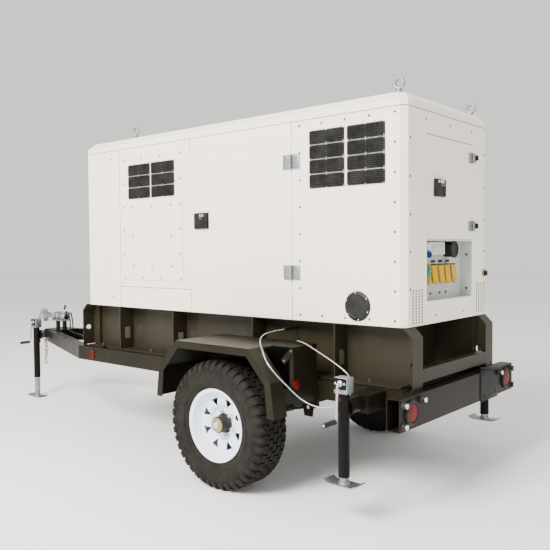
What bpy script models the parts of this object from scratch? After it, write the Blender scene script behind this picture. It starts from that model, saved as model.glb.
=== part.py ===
"""Towable diesel generator: a canopied generator set on a single-axle road trailer.

Metres, +Z up.  The origin is on the ground under the centre of the whole trailer.
+X points to the rear (control panel) end, -Y is the kerb side with the filler door.
Pieces that exist on both sides are built by one function that is called with
side = -1 (left, -Y) and side = +1 (right, +Y).
"""
import math

import bmesh
import bpy
from mathutils import Matrix, Vector

# ---------------------------------------------------------------- driving sizes
GAP = 0.0003                 # clearance kept between touching pieces
REAR = 2.2515                # x of the canopy's rear face
CANOPY_LENGTH = 2.937
CANOPY_HALF_WIDTH = 0.532
CANOPY_BOTTOM = 1.000
ROOF_SEAM = 2.212
ROOF_TOP = 2.295
SHEET = 0.003                # canopy sheet steel
FRONT = REAR - CANOPY_LENGTH  # x of the canopy's front face
CORNER = 0.0315              # chamfer on the canopy's upright corners

AXLE_X = REAR - 1.037
AXLE_Z = 0.387
TYRE_RADIUS = 0.387
TYRE_OUTER_Y = 0.985
TYRE_INNER_Y = 0.740
RIM_RADIUS = 0.218

RAIL_BOTTOM = 0.548
RAIL_TOP = 0.660
RAIL_OUTER_Y = 0.576
RAIL_FLANGE = 0.075
RAIL_WALL = 0.006
BEND_X = REAR - 3.020
NOSE_X = REAR - 4.240
NOSE_HALF_WIDTH = 0.120

BUMPER_FRONT = REAR + 0.010
BUMPER_REAR = REAR + 0.090
BUMPER_BOTTOM = 0.481
BUMPER_TOP = 0.655
BUMPER_HALF_WIDTH = 0.750

BASE_RECESS_Y = 0.400        # face of the base frame between its ribs
BASE_BOTTOM = RAIL_TOP + GAP
BASE_TOP = CANOPY_BOTTOM - GAP
RIB_HALF_WIDTH = 0.530

DOOR_REAR_X = REAR - 0.788
DOOR_FRONT_X = REAR - 1.700
DOOR_BOTTOM = 1.160
DOOR_TOP = 2.110
DOOR_GAP = 0.003

PANEL_HALF_WIDTH_LOW = -0.290   # control door and socket recess, y range
PANEL_HALF_WIDTH_HIGH = 0.310
CONTROL_DOOR_BOTTOM = 1.485
CONTROL_DOOR_TOP = 2.085
RECESS_BOTTOM = 1.130
RECESS_DEPTH = 0.080

JACK_TUBE_RADIUS = 0.030
REAR_JACK_X = REAR - 0.162
REAR_JACK_Y = 0.888
REAR_JACK_FOOT_Z = 0.203
FRONT_JACK_X = REAR - 4.327
FRONT_JACK_Y = -0.185
FRONT_PIVOT_Z = 0.610
REAR_PIVOT_Z = 0.600

FENDER_OUTER_Y = 1.000
FENDER_INNER_Y = 0.580
FENDER_TOP = 0.877


# ---------------------------------------------------------------- scene set-up
for old in list(bpy.data.objects):
    bpy.data.objects.remove(old, do_unlink=True)

parts = bpy.data.collections.new("towable_diesel_generator")
cutters = bpy.data.collections.new("cutters")
bpy.context.scene.collection.children.link(parts)
bpy.context.scene.collection.children.link(cutters)

FINISHES = {
    "canopy_white": ((0.86, 0.83, 0.77), 0.35, 0.0),
    "chassis_black": ((0.045, 0.042, 0.032), 0.28, 0.3),
    "rubber": ((0.03, 0.03, 0.03), 0.85, 0.0),
    "rim_white": ((0.82, 0.84, 0.90), 0.3, 0.0),
    "zinc": ((0.60, 0.62, 0.62), 0.4, 0.9),
    "black_plastic": ((0.02, 0.02, 0.02), 0.45, 0.0),
    "lamp_red": ((0.55, 0.02, 0.02), 0.2, 0.0),
    "engine_blue": ((0.10, 0.18, 0.30), 0.5, 0.2),
    "aluminium": ((0.66, 0.67, 0.68), 0.4, 0.9),
    "tank_black": ((0.07, 0.065, 0.05), 0.35, 0.3),
    "wire_rope": ((0.75, 0.75, 0.73), 0.4, 0.6),
}


def finish_material(name):
    """Principled BSDF for one finish, made once and shared."""
    existing = bpy.data.materials.get(name)
    if existing:
        return existing
    colour, roughness, metallic = FINISHES[name]
    material = bpy.data.materials.new(name)
    material.use_nodes = True
    shader = material.node_tree.nodes["Principled BSDF"]
    shader.inputs["Base Color"].default_value = (*colour, 1.0)
    shader.inputs["Roughness"].default_value = roughness
    shader.inputs["Metallic"].default_value = metallic
    return material


# ---------------------------------------------------------------- modelling helpers
def mesh_object(name, mesh):
    """Wrap a mesh in an object of the parts collection."""
    piece = bpy.data.objects.new(name, mesh)
    parts.objects.link(piece)
    return piece


def box(name, low, high):
    """Rectangular block between two corners, its origin at its centre."""
    size = [high[axis] - low[axis] for axis in range(3)]
    centre = [(high[axis] + low[axis]) / 2 for axis in range(3)]
    shape = bmesh.new()
    bmesh.ops.create_cube(shape, size=1.0)
    bmesh.ops.scale(shape, vec=size, verts=shape.verts)
    mesh = bpy.data.meshes.new(name)
    shape.to_mesh(mesh)
    shape.free()
    piece = mesh_object(name, mesh)
    piece.location = centre
    return piece


TURN_TO = {
    "X": Matrix.Rotation(math.pi / 2, 4, "Y"),
    "Y": Matrix.Rotation(-math.pi / 2, 4, "X"),
    "Z": Matrix.Identity(4),
}


def cylinder(name, centre, radius, length, axis="Z", sides=24, end_radius=None):
    """Round bar or cone centred on a point, lying along X, Y or Z."""
    shape = bmesh.new()
    tip = radius if end_radius is None else end_radius
    bmesh.ops.create_cone(shape, cap_ends=True, segments=sides, radius1=radius,
                          radius2=tip, depth=length)
    bmesh.ops.transform(shape, matrix=TURN_TO[axis], verts=shape.verts)
    mesh = bpy.data.meshes.new(name)
    shape.to_mesh(mesh)
    shape.free()
    mesh.shade_smooth()
    mesh.set_sharp_from_angle(angle=math.radians(35))
    piece = mesh_object(name, mesh)
    piece.location = centre
    return piece


def turned(name, centre, profile, steps=32, closed=True):
    """Profile of (radius, distance along Y) points turned about Y; open if it ends on the axis."""
    shape = bmesh.new()
    ring = [shape.verts.new((radius, along, 0.0)) for radius, along in profile]
    followers = ring[1:] + ring[:1] if closed else ring[1:]
    for first, second in zip(ring, followers):
        shape.edges.new((first, second))
    mesh = bpy.data.meshes.new(name)
    shape.to_mesh(mesh)
    shape.free()
    piece = mesh_object(name, mesh)
    screw = piece.modifiers.new("turn", "SCREW")
    screw.axis = "Y"
    screw.angle = 2 * math.pi
    screw.steps = steps
    screw.render_steps = steps
    screw.use_merge_vertices = True
    screw.merge_threshold = 0.0001
    screw.use_normal_calculate = True
    piece.location = centre
    return piece


def bake(piece, face_outwards=False):
    """Replace a piece by the plain mesh that its modifiers give, in world space."""
    bpy.context.view_layer.update()
    graph = bpy.context.evaluated_depsgraph_get()
    mesh = bpy.data.meshes.new_from_object(piece.evaluated_get(graph))
    mesh.transform(piece.matrix_world)
    shape = bmesh.new()
    shape.from_mesh(mesh)
    bmesh.ops.remove_doubles(shape, verts=shape.verts, dist=0.00001)
    if face_outwards:
        bmesh.ops.recalc_face_normals(shape, faces=shape.faces)
    shape.to_mesh(mesh)
    shape.free()
    name = piece.name
    bpy.data.objects.remove(piece, do_unlink=True)
    solid = mesh_object(name, mesh)
    solid.name = name
    return solid


def plate(name, outline, low, high, across="Y"):
    """Flat outline extruded between two heights along one axis.

    across="Y" reads the outline as (x, z), "X" as (y, z) and "Z" as (x, y).
    """
    flat = bpy.data.curves.new(name, "CURVE")
    flat.dimensions = "2D"
    flat.fill_mode = "BOTH"
    flat.extrude = (high - low) / 2
    line = flat.splines.new("POLY")
    line.points.add(len(outline) - 1)
    for point, (first, second) in zip(line.points, outline):
        point.co = (first, second, 0.0, 1.0)
    line.use_cyclic_u = True
    piece = bpy.data.objects.new(name, flat)
    parts.objects.link(piece)
    middle = (high + low) / 2
    if across == "Y":
        piece.matrix_world = Matrix.Translation((0, middle, 0)) @ Matrix.Rotation(math.pi / 2, 4, "X")
    elif across == "X":
        stand = Matrix(((0, 0, 1, 0), (1, 0, 0, 0), (0, 1, 0, 0), (0, 0, 0, 1)))
        piece.matrix_world = Matrix.Translation((middle, 0, 0)) @ stand
    else:
        piece.matrix_world = Matrix.Translation((0, 0, middle))
    return bake(piece, face_outwards=True)


def rod(name, points, radius, resolution=2):
    """Round bar or tube that follows points, with closed ends."""
    path = bpy.data.curves.new(name, "CURVE")
    path.dimensions = "3D"
    path.bevel_depth = radius
    path.bevel_resolution = resolution
    path.use_fill_caps = True
    line = path.splines.new("POLY")
    line.points.add(len(points) - 1)
    for point, place in zip(line.points, points):
        point.co = (*place, 1.0)
    piece = bpy.data.objects.new(name, path)
    parts.objects.link(piece)
    return bake(piece, face_outwards=True)


def torus(name, centre, radius, wire, axis="Y", stretch=1.0, sides=6, steps=12):
    """Ring of round bar about an axis, stretched upwards for a long link."""
    profile = [(radius + wire * math.cos(2 * math.pi * i / sides), wire * math.sin(2 * math.pi * i / sides))
               for i in range(sides)]
    ring = bake(turned(name, (0.0, 0.0, 0.0), profile, steps), face_outwards=True)
    turn = Matrix.Rotation(math.pi / 2, 4, "Z") if axis == "X" else Matrix.Identity(4)
    ring.data.transform(Matrix.Translation(centre) @ Matrix.Diagonal((1, 1, stretch, 1)) @ turn)
    return ring


def smooth_route(route, step):
    """Points a step apart on the smooth curve through a route's own points."""
    ends = [route[0]] + list(route) + [route[-1]]
    line = [Vector(route[0])]
    for p0, p1, p2, p3 in zip(ends, ends[1:], ends[2:], ends[3:]):
        p0, p1, p2, p3 = (Vector(p) for p in (p0, p1, p2, p3))
        count = max(2, round((p2 - p1).length / step))
        for i in range(1, count + 1):
            t = i / count
            line.append(0.5 * (2 * p1 + (p2 - p0) * t + (2 * p0 - 5 * p1 + 4 * p2 - p3) * t * t
                               + (3 * p1 - p0 - 3 * p2 + p3) * t * t * t))
    return line


def boolean(piece, other, operation):
    """Cut or join another shape into a piece and keep the result as its mesh."""
    cutters.objects.link(other)
    parts.objects.unlink(other)
    other.hide_render = True
    other.display_type = "WIRE"
    step = piece.modifiers.new(operation.lower(), "BOOLEAN")
    step.operation = operation
    step.solver = "EXACT"
    step.object = other
    return bake(piece)


def cut(piece, *others):
    for other in others:
        piece = boolean(piece, other, "DIFFERENCE")
    return piece


def join(piece, *others):
    for other in others:
        piece = boolean(piece, other, "UNION")
    return piece


def paint(piece, finish, pivot=None):
    """Give a piece its finish, and put its origin on its joint where it has one."""
    piece.data.materials.clear()
    piece.data.materials.append(finish_material(finish))
    if pivot:
        if piece.modifiers or piece.location.length > 0:
            piece = bake(piece)
            piece.data.materials.clear()
            piece.data.materials.append(finish_material(finish))
        piece.data.transform(Matrix.Translation(-Vector(pivot)))
        piece.location = pivot
    return piece


def side_name(side):
    return "left" if side < 0 else "right"


def between(first, second):
    """Low and high of two values, for spans that are mirrored by their side's sign."""
    return min(first, second), max(first, second)


def side_box(name, side, x_span, y_span, z_span):
    """Block whose y span is given for the right side and mirrored for the left."""
    low_y, high_y = between(side * y_span[0], side * y_span[1])
    return box(name, (x_span[0], low_y, z_span[0]), (x_span[1], high_y, z_span[1]))


# ---------------------------------------------------------------- trailer frame
def rail_strip(name, side, inner, outer, low, high):
    """Strip of the rail's plan between two distances in from its outer face."""
    slope = math.atan2(RAIL_OUTER_Y - NOSE_HALF_WIDTH, BEND_X - NOSE_X)
    shift = math.tan(slope / 2)
    nose_drop = 1 / math.cos(slope)
    rear = BUMPER_FRONT - GAP

    def line(distance):
        return [(rear, RAIL_OUTER_Y - distance),
                (BEND_X + distance * shift, RAIL_OUTER_Y - distance),
                (NOSE_X, NOSE_HALF_WIDTH - distance * nose_drop)]

    outline = line(inner) + line(outer)[::-1]
    outline = [(x, side * y) for x, y in outline]
    if side < 0:
        outline.reverse()
    return plate(name, outline, low, high, "Z")


def spring_hanger(name, side, x):
    """Plate hanger with which one end of a leaf spring is bolted under the rail."""
    foot = [(x - 0.05, RAIL_BOTTOM + 0.003), (x - 0.03, 0.430), (x + 0.03, 0.430),
            (x + 0.05, RAIL_BOTTOM + 0.003)]
    low, high = between(side * 0.569, side * 0.575)
    return plate(name, foot, low, high)


SPRING_HALF_SPAN = 0.400
OUTRIGGER = {"x": (REAR - 0.220, REAR - 0.100), "z": (0.556, 0.652)}


def rail(side):
    """Cold-formed channel from the bumper to the drawbar nose, open towards the middle."""
    name = side_name(side) + "_rail"
    web = rail_strip(name, side, 0.0, RAIL_WALL, RAIL_BOTTOM, RAIL_TOP)
    top = rail_strip("top", side, 0.0, RAIL_FLANGE, RAIL_TOP - RAIL_WALL, RAIL_TOP)
    bottom = rail_strip("bottom", side, 0.0, RAIL_FLANGE, RAIL_BOTTOM, RAIL_BOTTOM + RAIL_WALL)
    hangers = [spring_hanger("hanger", side, AXLE_X + end * SPRING_HALF_SPAN) for end in (-1, 1)]
    piece = join(web, top, bottom, *hangers)
    passage = side_box("passage", side, [x + s * GAP for x, s in zip(OUTRIGGER["x"], (-1, 1))],
                       (RAIL_OUTER_Y - 0.02, RAIL_OUTER_Y + 0.02),
                       [z + s * GAP for z, s in zip(OUTRIGGER["z"], (-1, 1))])
    paint(cut(piece, passage), "chassis_black")


def front_cross_member():
    """Box between the rails where the drawbar starts."""
    half = RAIL_OUTER_Y - RAIL_WALL - GAP
    low, high = RAIL_BOTTOM + RAIL_WALL + GAP, RAIL_TOP - RAIL_WALL - GAP
    tube = box("front_cross_member", (BEND_X + 0.10, -half, low), (BEND_X + 0.18, half, high))
    bore = box("bore", (BEND_X + 0.105, -half - 0.01, low + 0.005),
               (BEND_X + 0.175, half + 0.01, high - 0.005))
    paint(cut(tube, bore), "chassis_black")


def rear_outrigger():
    """Square tube through both rails; the side jacks hang on the pipe at each end."""
    (x0, x1), (z0, z1) = OUTRIGGER["x"], OUTRIGGER["z"]
    beam = box("rear_outrigger", (x0, -0.750, z0), (x1, 0.750, z1))
    for side in (-1, 1):
        low, high = between(side * 0.740, side * 0.846)
        pipe = cylinder("pipe", (REAR_JACK_X, (low + high) / 2, REAR_PIVOT_Z), 0.036, high - low, "Y", 20)
        beam = join(beam, pipe)
    bore = box("bore", (x0 + 0.005, -0.70, z0 - 0.01), (x1 - 0.005, 0.70, z1 - 0.005))
    paint(cut(beam, bore), "chassis_black")


def bumper_beam():
    """Hollow rectangular tube across the rear, its ends left open."""
    beam = box("bumper_beam", (BUMPER_FRONT, -BUMPER_HALF_WIDTH, BUMPER_BOTTOM),
               (BUMPER_REAR, BUMPER_HALF_WIDTH, BUMPER_TOP))
    wall = 0.005
    bore = box("bore", (BUMPER_FRONT + wall, -0.80, BUMPER_BOTTOM + wall),
               (BUMPER_REAR - wall, 0.80, BUMPER_TOP - wall))
    beam = cut(beam, bore)
    for side in (-1, 1):
        for y, z in BUFFERS:
            buffer = cylinder("buffer", (BUMPER_REAR + 0.013, side * y, z), 0.016, 0.032, "X", 12, 0.013)
            beam = join(beam, buffer)
    paint(beam, "chassis_black")


BUFFERS = ((0.722, 0.622), (0.722, 0.512), (0.520, 0.622))
LAMP_Y = 0.632
LAMP_Z = 0.570


def tail_lamp(side):
    """Round stop and tail lamp with its rubber grommet, on the bumper's rear face."""
    lamp = cylinder("tail_lamp_" + side_name(side),
                    (BUMPER_REAR + GAP + 0.008, side * LAMP_Y, LAMP_Z), 0.062, 0.016, "X", 28, 0.058)
    paint(lamp, "lamp_red")


POST_XS = (REAR - 4.235, REAR - 4.120)
POST_TOP = 0.745


def drawbar_nose():
    """Plate box that closes the drawbar, with the posts that lift the coupling."""
    back, tip = REAR - 4.050, REAR - 4.300
    wall = 0.006
    top = box("drawbar_nose", (tip, -NOSE_HALF_WIDTH + 0.005, RAIL_TOP + GAP),
              (back, NOSE_HALF_WIDTH - 0.005, RAIL_TOP + GAP + wall))
    face = box("face", (tip + 0.001, -NOSE_HALF_WIDTH + 0.006, RAIL_BOTTOM),
               (NOSE_X - GAP, NOSE_HALF_WIDTH - 0.006, RAIL_TOP + 0.002))
    posts = [box("post", (x - 0.020, -0.012, RAIL_TOP), (x + 0.020, 0.012, POST_TOP)) for x in POST_XS]
    stub_end = FRONT_JACK_Y + JACK_TUBE_RADIUS + 0.012
    stub = cylinder("stub", (FRONT_JACK_X, (stub_end - 0.05) / 2, FRONT_PIVOT_Z), 0.030,
                    -0.05 - stub_end, "Y", 18)
    arm = box("arm", (FRONT_JACK_X - 0.032, -0.10, 0.575), (NOSE_X - 0.01, -0.045, 0.645))
    paint(join(top, face, *posts, arm, stub), "chassis_black")


# ---------------------------------------------------------------- coupling
COUPLER_TIP = REAR - 4.620
COUPLER_BACK = REAR - 4.085


def coupling():
    """Overrun coupling: cast housing, sliding head, latch lever and handbrake lever."""
    base = POST_TOP + GAP
    foot = box("coupler_housing", (REAR - 4.275, -0.050, base), (COUPLER_BACK, 0.050, base + 0.012))
    body = cylinder("body", (REAR - 4.180, 0.0, base + 0.040), 0.036, 0.190, "X", 20)
    bore = cylinder("bore", (REAR - 4.200, 0.0, base + 0.040), 0.0255, 0.170, "X", 20)
    housing = cut(join(foot, body), bore)
    ears = box("ears", (REAR - 4.110, -0.012, base + 0.050), (REAR - 4.086, 0.012, base + 0.100))
    paint(join(housing, ears), "zinc")

    shaft = cylinder("coupler_head", (REAR - 4.330, 0.0, base + 0.040), 0.0250, 0.340, "X", 20)
    socket = cylinder("socket", (REAR - 4.500, 0.0, base + 0.026), 0.048, 0.100, "Z", 24, 0.036)
    ball_room = cylinder("ball_room", (REAR - 4.500, 0.0, base + 0.005), 0.034, 0.100, "Z", 20)
    neck = box("neck", (REAR - 4.490, -0.030, base + 0.020), (REAR - 4.400, 0.030, base + 0.060))
    head = cut(join(shaft, neck, socket), ball_room)
    paint(head, "zinc", (REAR - 4.500, 0.0, base + 0.040))

    latch_pivot = (REAR - 4.470, 0.0, base + 0.091)
    grip_line = [(REAR - 4.462, 0.0, base + 0.090), (REAR - 4.500, 0.0, base + 0.093),
                 (REAR - 4.550, 0.0, base + 0.086), (REAR - 4.620, 0.0, base + 0.072)]
    grip = rod("coupler_latch", grip_line, 0.0115, 3)
    paint(grip, "zinc", latch_pivot)

    brake_pivot = (REAR - 4.098, -0.024, base + 0.086)
    lever = rod("handbrake_lever", [(REAR - 4.098, -0.024, base + 0.079), (REAR - 4.098, -0.024, base + 0.095),
                                    (REAR - 4.078, -0.024, base + 0.125),
                                    (REAR - 4.066, -0.024, base + 0.155)], 0.008, 2)
    paint(lever, "black_plastic", brake_pivot)


CHAIN_X = REAR - 4.120
CHAIN_Y = -0.205
CHAIN_TOP = 0.590
CHAIN_LINKS = 5
CHAIN_PITCH = 0.036


def safety_chain():
    """Breakaway chain that hangs from the left rail, with its snap hook at the end."""
    tops = [CHAIN_TOP - 0.021 - CHAIN_PITCH * i for i in range(CHAIN_LINKS)]
    links = [torus("safety_chain" if i == 0 else "link", (CHAIN_X, CHAIN_Y, z), 0.0125, 0.0045,
                   "XY"[i % 2], 1.7) for i, z in enumerate(tops)]
    low = tops[-1] - 0.021
    hook_points = [(CHAIN_X, CHAIN_Y, low + 0.001), (CHAIN_X, CHAIN_Y, low - 0.012)]
    for step in range(9):
        angle = math.pi * (0.5 + step / 6.5)
        hook_points.append((CHAIN_X + 0.022 * math.cos(angle), CHAIN_Y,
                            low - 0.050 + 0.028 * math.sin(angle)))
    hook = rod("hook", hook_points, 0.0055, 1)
    paint(join(links[0], *links[1:], hook), "zinc", (CHAIN_X, CHAIN_Y, CHAIN_TOP))


# ---------------------------------------------------------------- running gear
def axle():
    """Square axle tube with the round stub that each hub turns on."""
    beam = box("axle_beam", (AXLE_X - 0.030, -0.700, AXLE_Z - 0.030),
               (AXLE_X + 0.030, 0.700, AXLE_Z + 0.030))
    bore = box("bore", (AXLE_X - 0.024, -0.660, AXLE_Z - 0.040), (AXLE_X + 0.024, 0.660, AXLE_Z + 0.024))
    beam = cut(beam, bore)
    for side in (-1, 1):
        low, high = between(side * 0.690, side * 0.800)
        beam = join(beam, cylinder("stub", (AXLE_X, (low + high) / 2, AXLE_Z), 0.022, high - low, "Y", 20))
    seats = [side_box("seat", side, (AXLE_X - 0.045, AXLE_X + 0.045), (0.515, 0.575),
                      (AXLE_Z + 0.028, AXLE_Z + 0.036)) for side in (-1, 1)]
    paint(join(beam, *seats), "chassis_black")


def leaf_spring(side):
    """Bundle of three leaves over the axle, its ends between the rail's hangers."""
    y0, y1 = between(side * 0.515, side * 0.566)
    name = "leaf_spring_" + side_name(side)
    seat = AXLE_Z + 0.036 + GAP
    end_z = 0.478
    samples = 9

    def leaf_line(half_length, lift):
        points = []
        for i in range(samples):
            x = -half_length + 2 * half_length * i / (samples - 1)
            rise = (end_z - seat) * (x / SPRING_HALF_SPAN) ** 2
            points.append((AXLE_X + x, seat + lift + rise))
        return points

    main = leaf_line(SPRING_HALF_SPAN, 0.014) + leaf_line(SPRING_HALF_SPAN, 0.0)[::-1]
    second = leaf_line(0.270, 0.022) + leaf_line(0.270, 0.010)[::-1]
    third = leaf_line(0.150, 0.032) + leaf_line(0.150, 0.018)[::-1]
    bundle = plate(name, main, y0, y1)
    bundle = join(bundle, plate("second", second, y0 + 0.0004, y1 - 0.0004),
                  plate("third", third, y0 + 0.0008, y1 - 0.0008))
    for end in (-1, 1):
        eye = cylinder("eye", (AXLE_X + end * SPRING_HALF_SPAN, (y0 + y1) / 2, end_z + 0.007), 0.019,
                       y1 - y0 - 0.0006, "Y", 16)
        bundle = join(bundle, eye)
    paint(bundle, "chassis_black")


WHEEL_STEPS = 28              # the same on tyre, rim and hub, so that their facets nest


def wheel(side):
    """Tyre, pressed steel rim with eight windows, and a six-stud hub."""
    label = side_name(side)
    centre = (AXLE_X, 0.0, AXLE_Z)

    def outward(profile):
        points = [(radius, side * along) for radius, along in profile]
        return points if side > 0 else points[::-1]

    middle = (TYRE_OUTER_Y + TYRE_INNER_Y) / 2
    half = (TYRE_OUTER_Y - TYRE_INNER_Y) / 2
    bead = RIM_RADIUS - 0.014 + 0.0006
    bead_low, bead_high = 0.778, 0.955
    tyre = turned("tyre_" + label, centre, outward([
        (bead, bead_low), (0.262, middle - half + 0.004), (0.318, middle - half),
        (0.364, middle - half + 0.014), (TYRE_RADIUS, middle - 0.075), (TYRE_RADIUS, middle + 0.075),
        (0.364, middle + half - 0.014), (0.318, middle + half), (0.262, middle + half - 0.004),
        (bead, bead_high), (bead, bead_high - 0.014), (0.255, middle + 0.104), (0.362, middle + 0.090),
        (0.362, middle - 0.090), (0.255, middle - 0.104), (bead, bead_low + 0.014)]), WHEEL_STEPS)
    paint(tyre, "rubber", centre)

    seat = RIM_RADIUS - 0.014
    rim = turned("rim_" + label, centre, outward([
        (0.052, 0.877), (0.100, 0.877), (0.118, 0.899), (0.160, 0.902), (0.176, 0.880),
        (0.184, 0.768), (RIM_RADIUS, 0.758), (RIM_RADIUS, 0.762), (seat, 0.776), (0.188, 0.784),
        (0.187, 0.905), (seat, 0.918), (seat, 0.958), (RIM_RADIUS + 0.002, 0.966),
        (RIM_RADIUS + 0.002, 0.970), (seat - 0.005, 0.963), (0.182, 0.925), (0.170, 0.909),
        (0.114, 0.906), (0.098, 0.883), (0.052, 0.883)]), WHEEL_STEPS)
    rim = bake(rim, face_outwards=True)
    windows = []
    for step in range(8):
        angle = 2 * math.pi * step / 8
        outline = []
        for corner, radius in ((0.0, 0.110), (-0.165, 0.156), (0.165, 0.156)):
            outline.append((AXLE_X + radius * math.cos(angle + corner),
                            AXLE_Z + radius * math.sin(angle + corner)))
        low, high = between(side * 0.86, side * 0.94)
        windows.append(plate("window", outline, low, high))
    paint(cut(rim, *windows), "rim_white", centre)

    hub = turned("hub_" + label, centre, outward([
        (0.0, 0.815), (0.0224, 0.815), (0.0224, 0.742), (0.120, 0.742), (0.122, 0.752), (0.122, 0.820),
        (0.105, 0.8765), (0.0515, 0.8765), (0.0515, 0.890), (0.048, 0.896), (0.045, 0.946),
        (0.032, 0.955), (0.0, 0.955)]), WHEEL_STEPS, closed=False)
    paint(hub, "zinc", centre)


# ---------------------------------------------------------------- fenders
FENDER_SHEET = 0.003
ARCH = [(-0.490, 0.510), (-0.465, 0.700), (-0.305, FENDER_TOP), (0.305, FENDER_TOP),
        (0.465, 0.700), (0.490, 0.500)]


def arch_inset(distance):
    """The fender's outline moved in towards the wheel, ends kept level."""
    slopes = []
    for (x0, z0), (x1, z1) in zip(ARCH, ARCH[1:]):
        run = Vector((x1 - x0, z1 - z0)).normalized()
        slopes.append(Vector((run.y, -run.x)))
    inner = []
    for i, (x, z) in enumerate(ARCH):
        before = slopes[max(i - 1, 0)]
        after = slopes[min(i, len(slopes) - 1)]
        mitre = (before + after).normalized()
        reach = distance / max(mitre.dot(after), 0.3)
        inner.append((x + mitre.x * reach, z + mitre.y * reach))
    return inner


def step_box(side):
    """Step behind the fender that ties it to the frame: top, rear plate, stay and inner plate."""
    rear_x = AXLE_X + 0.470
    y_in, y_out = FENDER_INNER_Y + 0.0013, 0.800
    top = side_box("step", side, (AXLE_X + 0.290, rear_x), (y_in, y_out), (0.8718, 0.8764))
    back = side_box("back", side, (rear_x - 0.004, rear_x), (y_in, y_out), (0.540, 0.8746))
    stay = side_box("stay", side, (rear_x - 0.030, rear_x - 0.0018), (y_out - 0.006, y_out - 0.0011),
                    (0.560, 0.8742))
    inner = side_box("inner", side, (AXLE_X + 0.301, rear_x - 0.0021), (y_in + 0.0007, y_in + 0.0047),
                     (0.560, 0.8738))
    return [top, back, stay, inner]


def arch_room(distance):
    """The outline inside the fender's legs, run down past their ends."""
    inner = [(AXLE_X + x, z) for x, z in arch_inset(distance)]
    return [(inner[0][0] - 0.003, 0.400)] + inner[1:-1] + [(inner[-1][0] + 0.004, 0.400)]


def fender(side):
    """Folded sheet mudguard: top and legs, an outer lip, a skirt on the rail side and a step."""
    sheet_low, sheet_high = between(side * FENDER_INNER_Y, side * FENDER_OUTER_Y)
    shell = plate("fender_" + side_name(side), [(AXLE_X + x, z) for x, z in ARCH], sheet_low, sheet_high)
    room = plate("room", arch_room(FENDER_SHEET), sheet_low + FENDER_SHEET, sheet_high - FENDER_SHEET)
    low, high = between(side * (FENDER_OUTER_Y - 0.020), side * (FENDER_OUTER_Y + 0.020))
    wheel_side = plate("wheel_side", arch_room(0.045), low, high)
    axle_room = side_box("axle_room", side, (AXLE_X - 0.36, AXLE_X + 0.36),
                         (FENDER_INNER_Y - 0.02, FENDER_INNER_Y + 0.02), (0.40, 0.56))
    slot = side_box("slot", side, (AXLE_X + 0.310, AXLE_X + 0.600), (0.590, 0.885), (0.40, 0.8715))
    shell = cut(shell, room, wheel_side, axle_room, slot)
    shapes = step_box(side)
    if side < 0:
        shapes.append(cylinder("cable_lug", (REAR - 0.708, -0.597, 0.880), 0.006, 0.016, "Z", 10))
    paint(join(shell, *shapes), "chassis_black")


# ---------------------------------------------------------------- jacks
def jack(label, x, y, side, pivot_z, tube_bottom, foot_z, leg_top):
    """Screw jack: outer tube with its gear head, inner leg with foot, crank with grip."""
    pivot = (x, y, pivot_z)
    head_top = 0.768
    tube = cylinder("jack_tube_" + label, (x, y, (tube_bottom + head_top - 0.06) / 2), JACK_TUBE_RADIUS,
                    head_top - 0.06 - tube_bottom, "Z", 24)
    head = box("head", (x - 0.042, y - 0.034, head_top - 0.070), (x + 0.042, y + 0.034, head_top))
    collar_end = y - side * (JACK_TUBE_RADIUS + 0.0105)
    low, high = between(y - side * (JACK_TUBE_RADIUS - 0.008), collar_end)
    collar = cylinder("collar", (x, (low + high) / 2, pivot_z), 0.042, high - low, "Y", 20)
    bore = cylinder("bore", (x, y, tube_bottom + 0.22), JACK_TUBE_RADIUS - 0.004, 0.48, "Z", 20)
    body = cut(join(tube, head, collar), bore)
    paint(body, "chassis_black", pivot)

    leg = cylinder("jack_leg_" + label, (x, y, (foot_z + 0.008 + leg_top) / 2),
                   JACK_TUBE_RADIUS - 0.0045, leg_top - foot_z - 0.008, "Z", 20)
    half = 0.105
    rise = 0.014
    outline = [(x - half, foot_z + rise), (x - half + 0.030, foot_z), (x + half - 0.030, foot_z),
               (x + half, foot_z + rise), (x + half - 0.004, foot_z + rise + 0.005),
               (x + half - 0.032, foot_z + 0.0055), (x - half + 0.032, foot_z + 0.0055),
               (x - half + 0.004, foot_z + rise + 0.005)]
    foot = plate("foot", outline, y - 0.048, y + 0.048)
    socket = cylinder("socket", (x, y, foot_z + 0.010), 0.0290, 0.014, "Z", 20)
    screw_room = cylinder("screw_room", (x, y, leg_top - 0.10), 0.018, 0.36, "Z", 16)
    leg = cut(join(leg, foot, socket), screw_room)
    paint(leg, "zinc", (x, y, foot_z))

    shaft_z = 0.738
    start = y + side * (0.034 + GAP)
    crank_points = [(x, start, shaft_z), (x, start + side * 0.014, shaft_z),
                    (x, start + side * 0.022, shaft_z - 0.012),
                    (x, start + side * 0.034, shaft_z - 0.185),
                    (x, start + side * 0.042, shaft_z - 0.192),
                    (x, start + side * 0.048, shaft_z - 0.192)]
    arm = rod("jack_crank_" + label, crank_points, 0.007, 2)
    grip_start = start + side * 0.044
    grip = cylinder("grip", (x, grip_start + side * 0.050, shaft_z - 0.192), 0.0135, 0.100,
                    "Y", 16)
    paint(join(arm, grip), "zinc", (x, start, shaft_z))


# ---------------------------------------------------------------- base frame and tank
RIB_XS = (REAR - 2.523, REAR - 1.901, REAR - 1.126, REAR - 0.475)
BASE_END_REAR = REAR + 0.046
BASE_END_FRONT = REAR - 3.020


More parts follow.
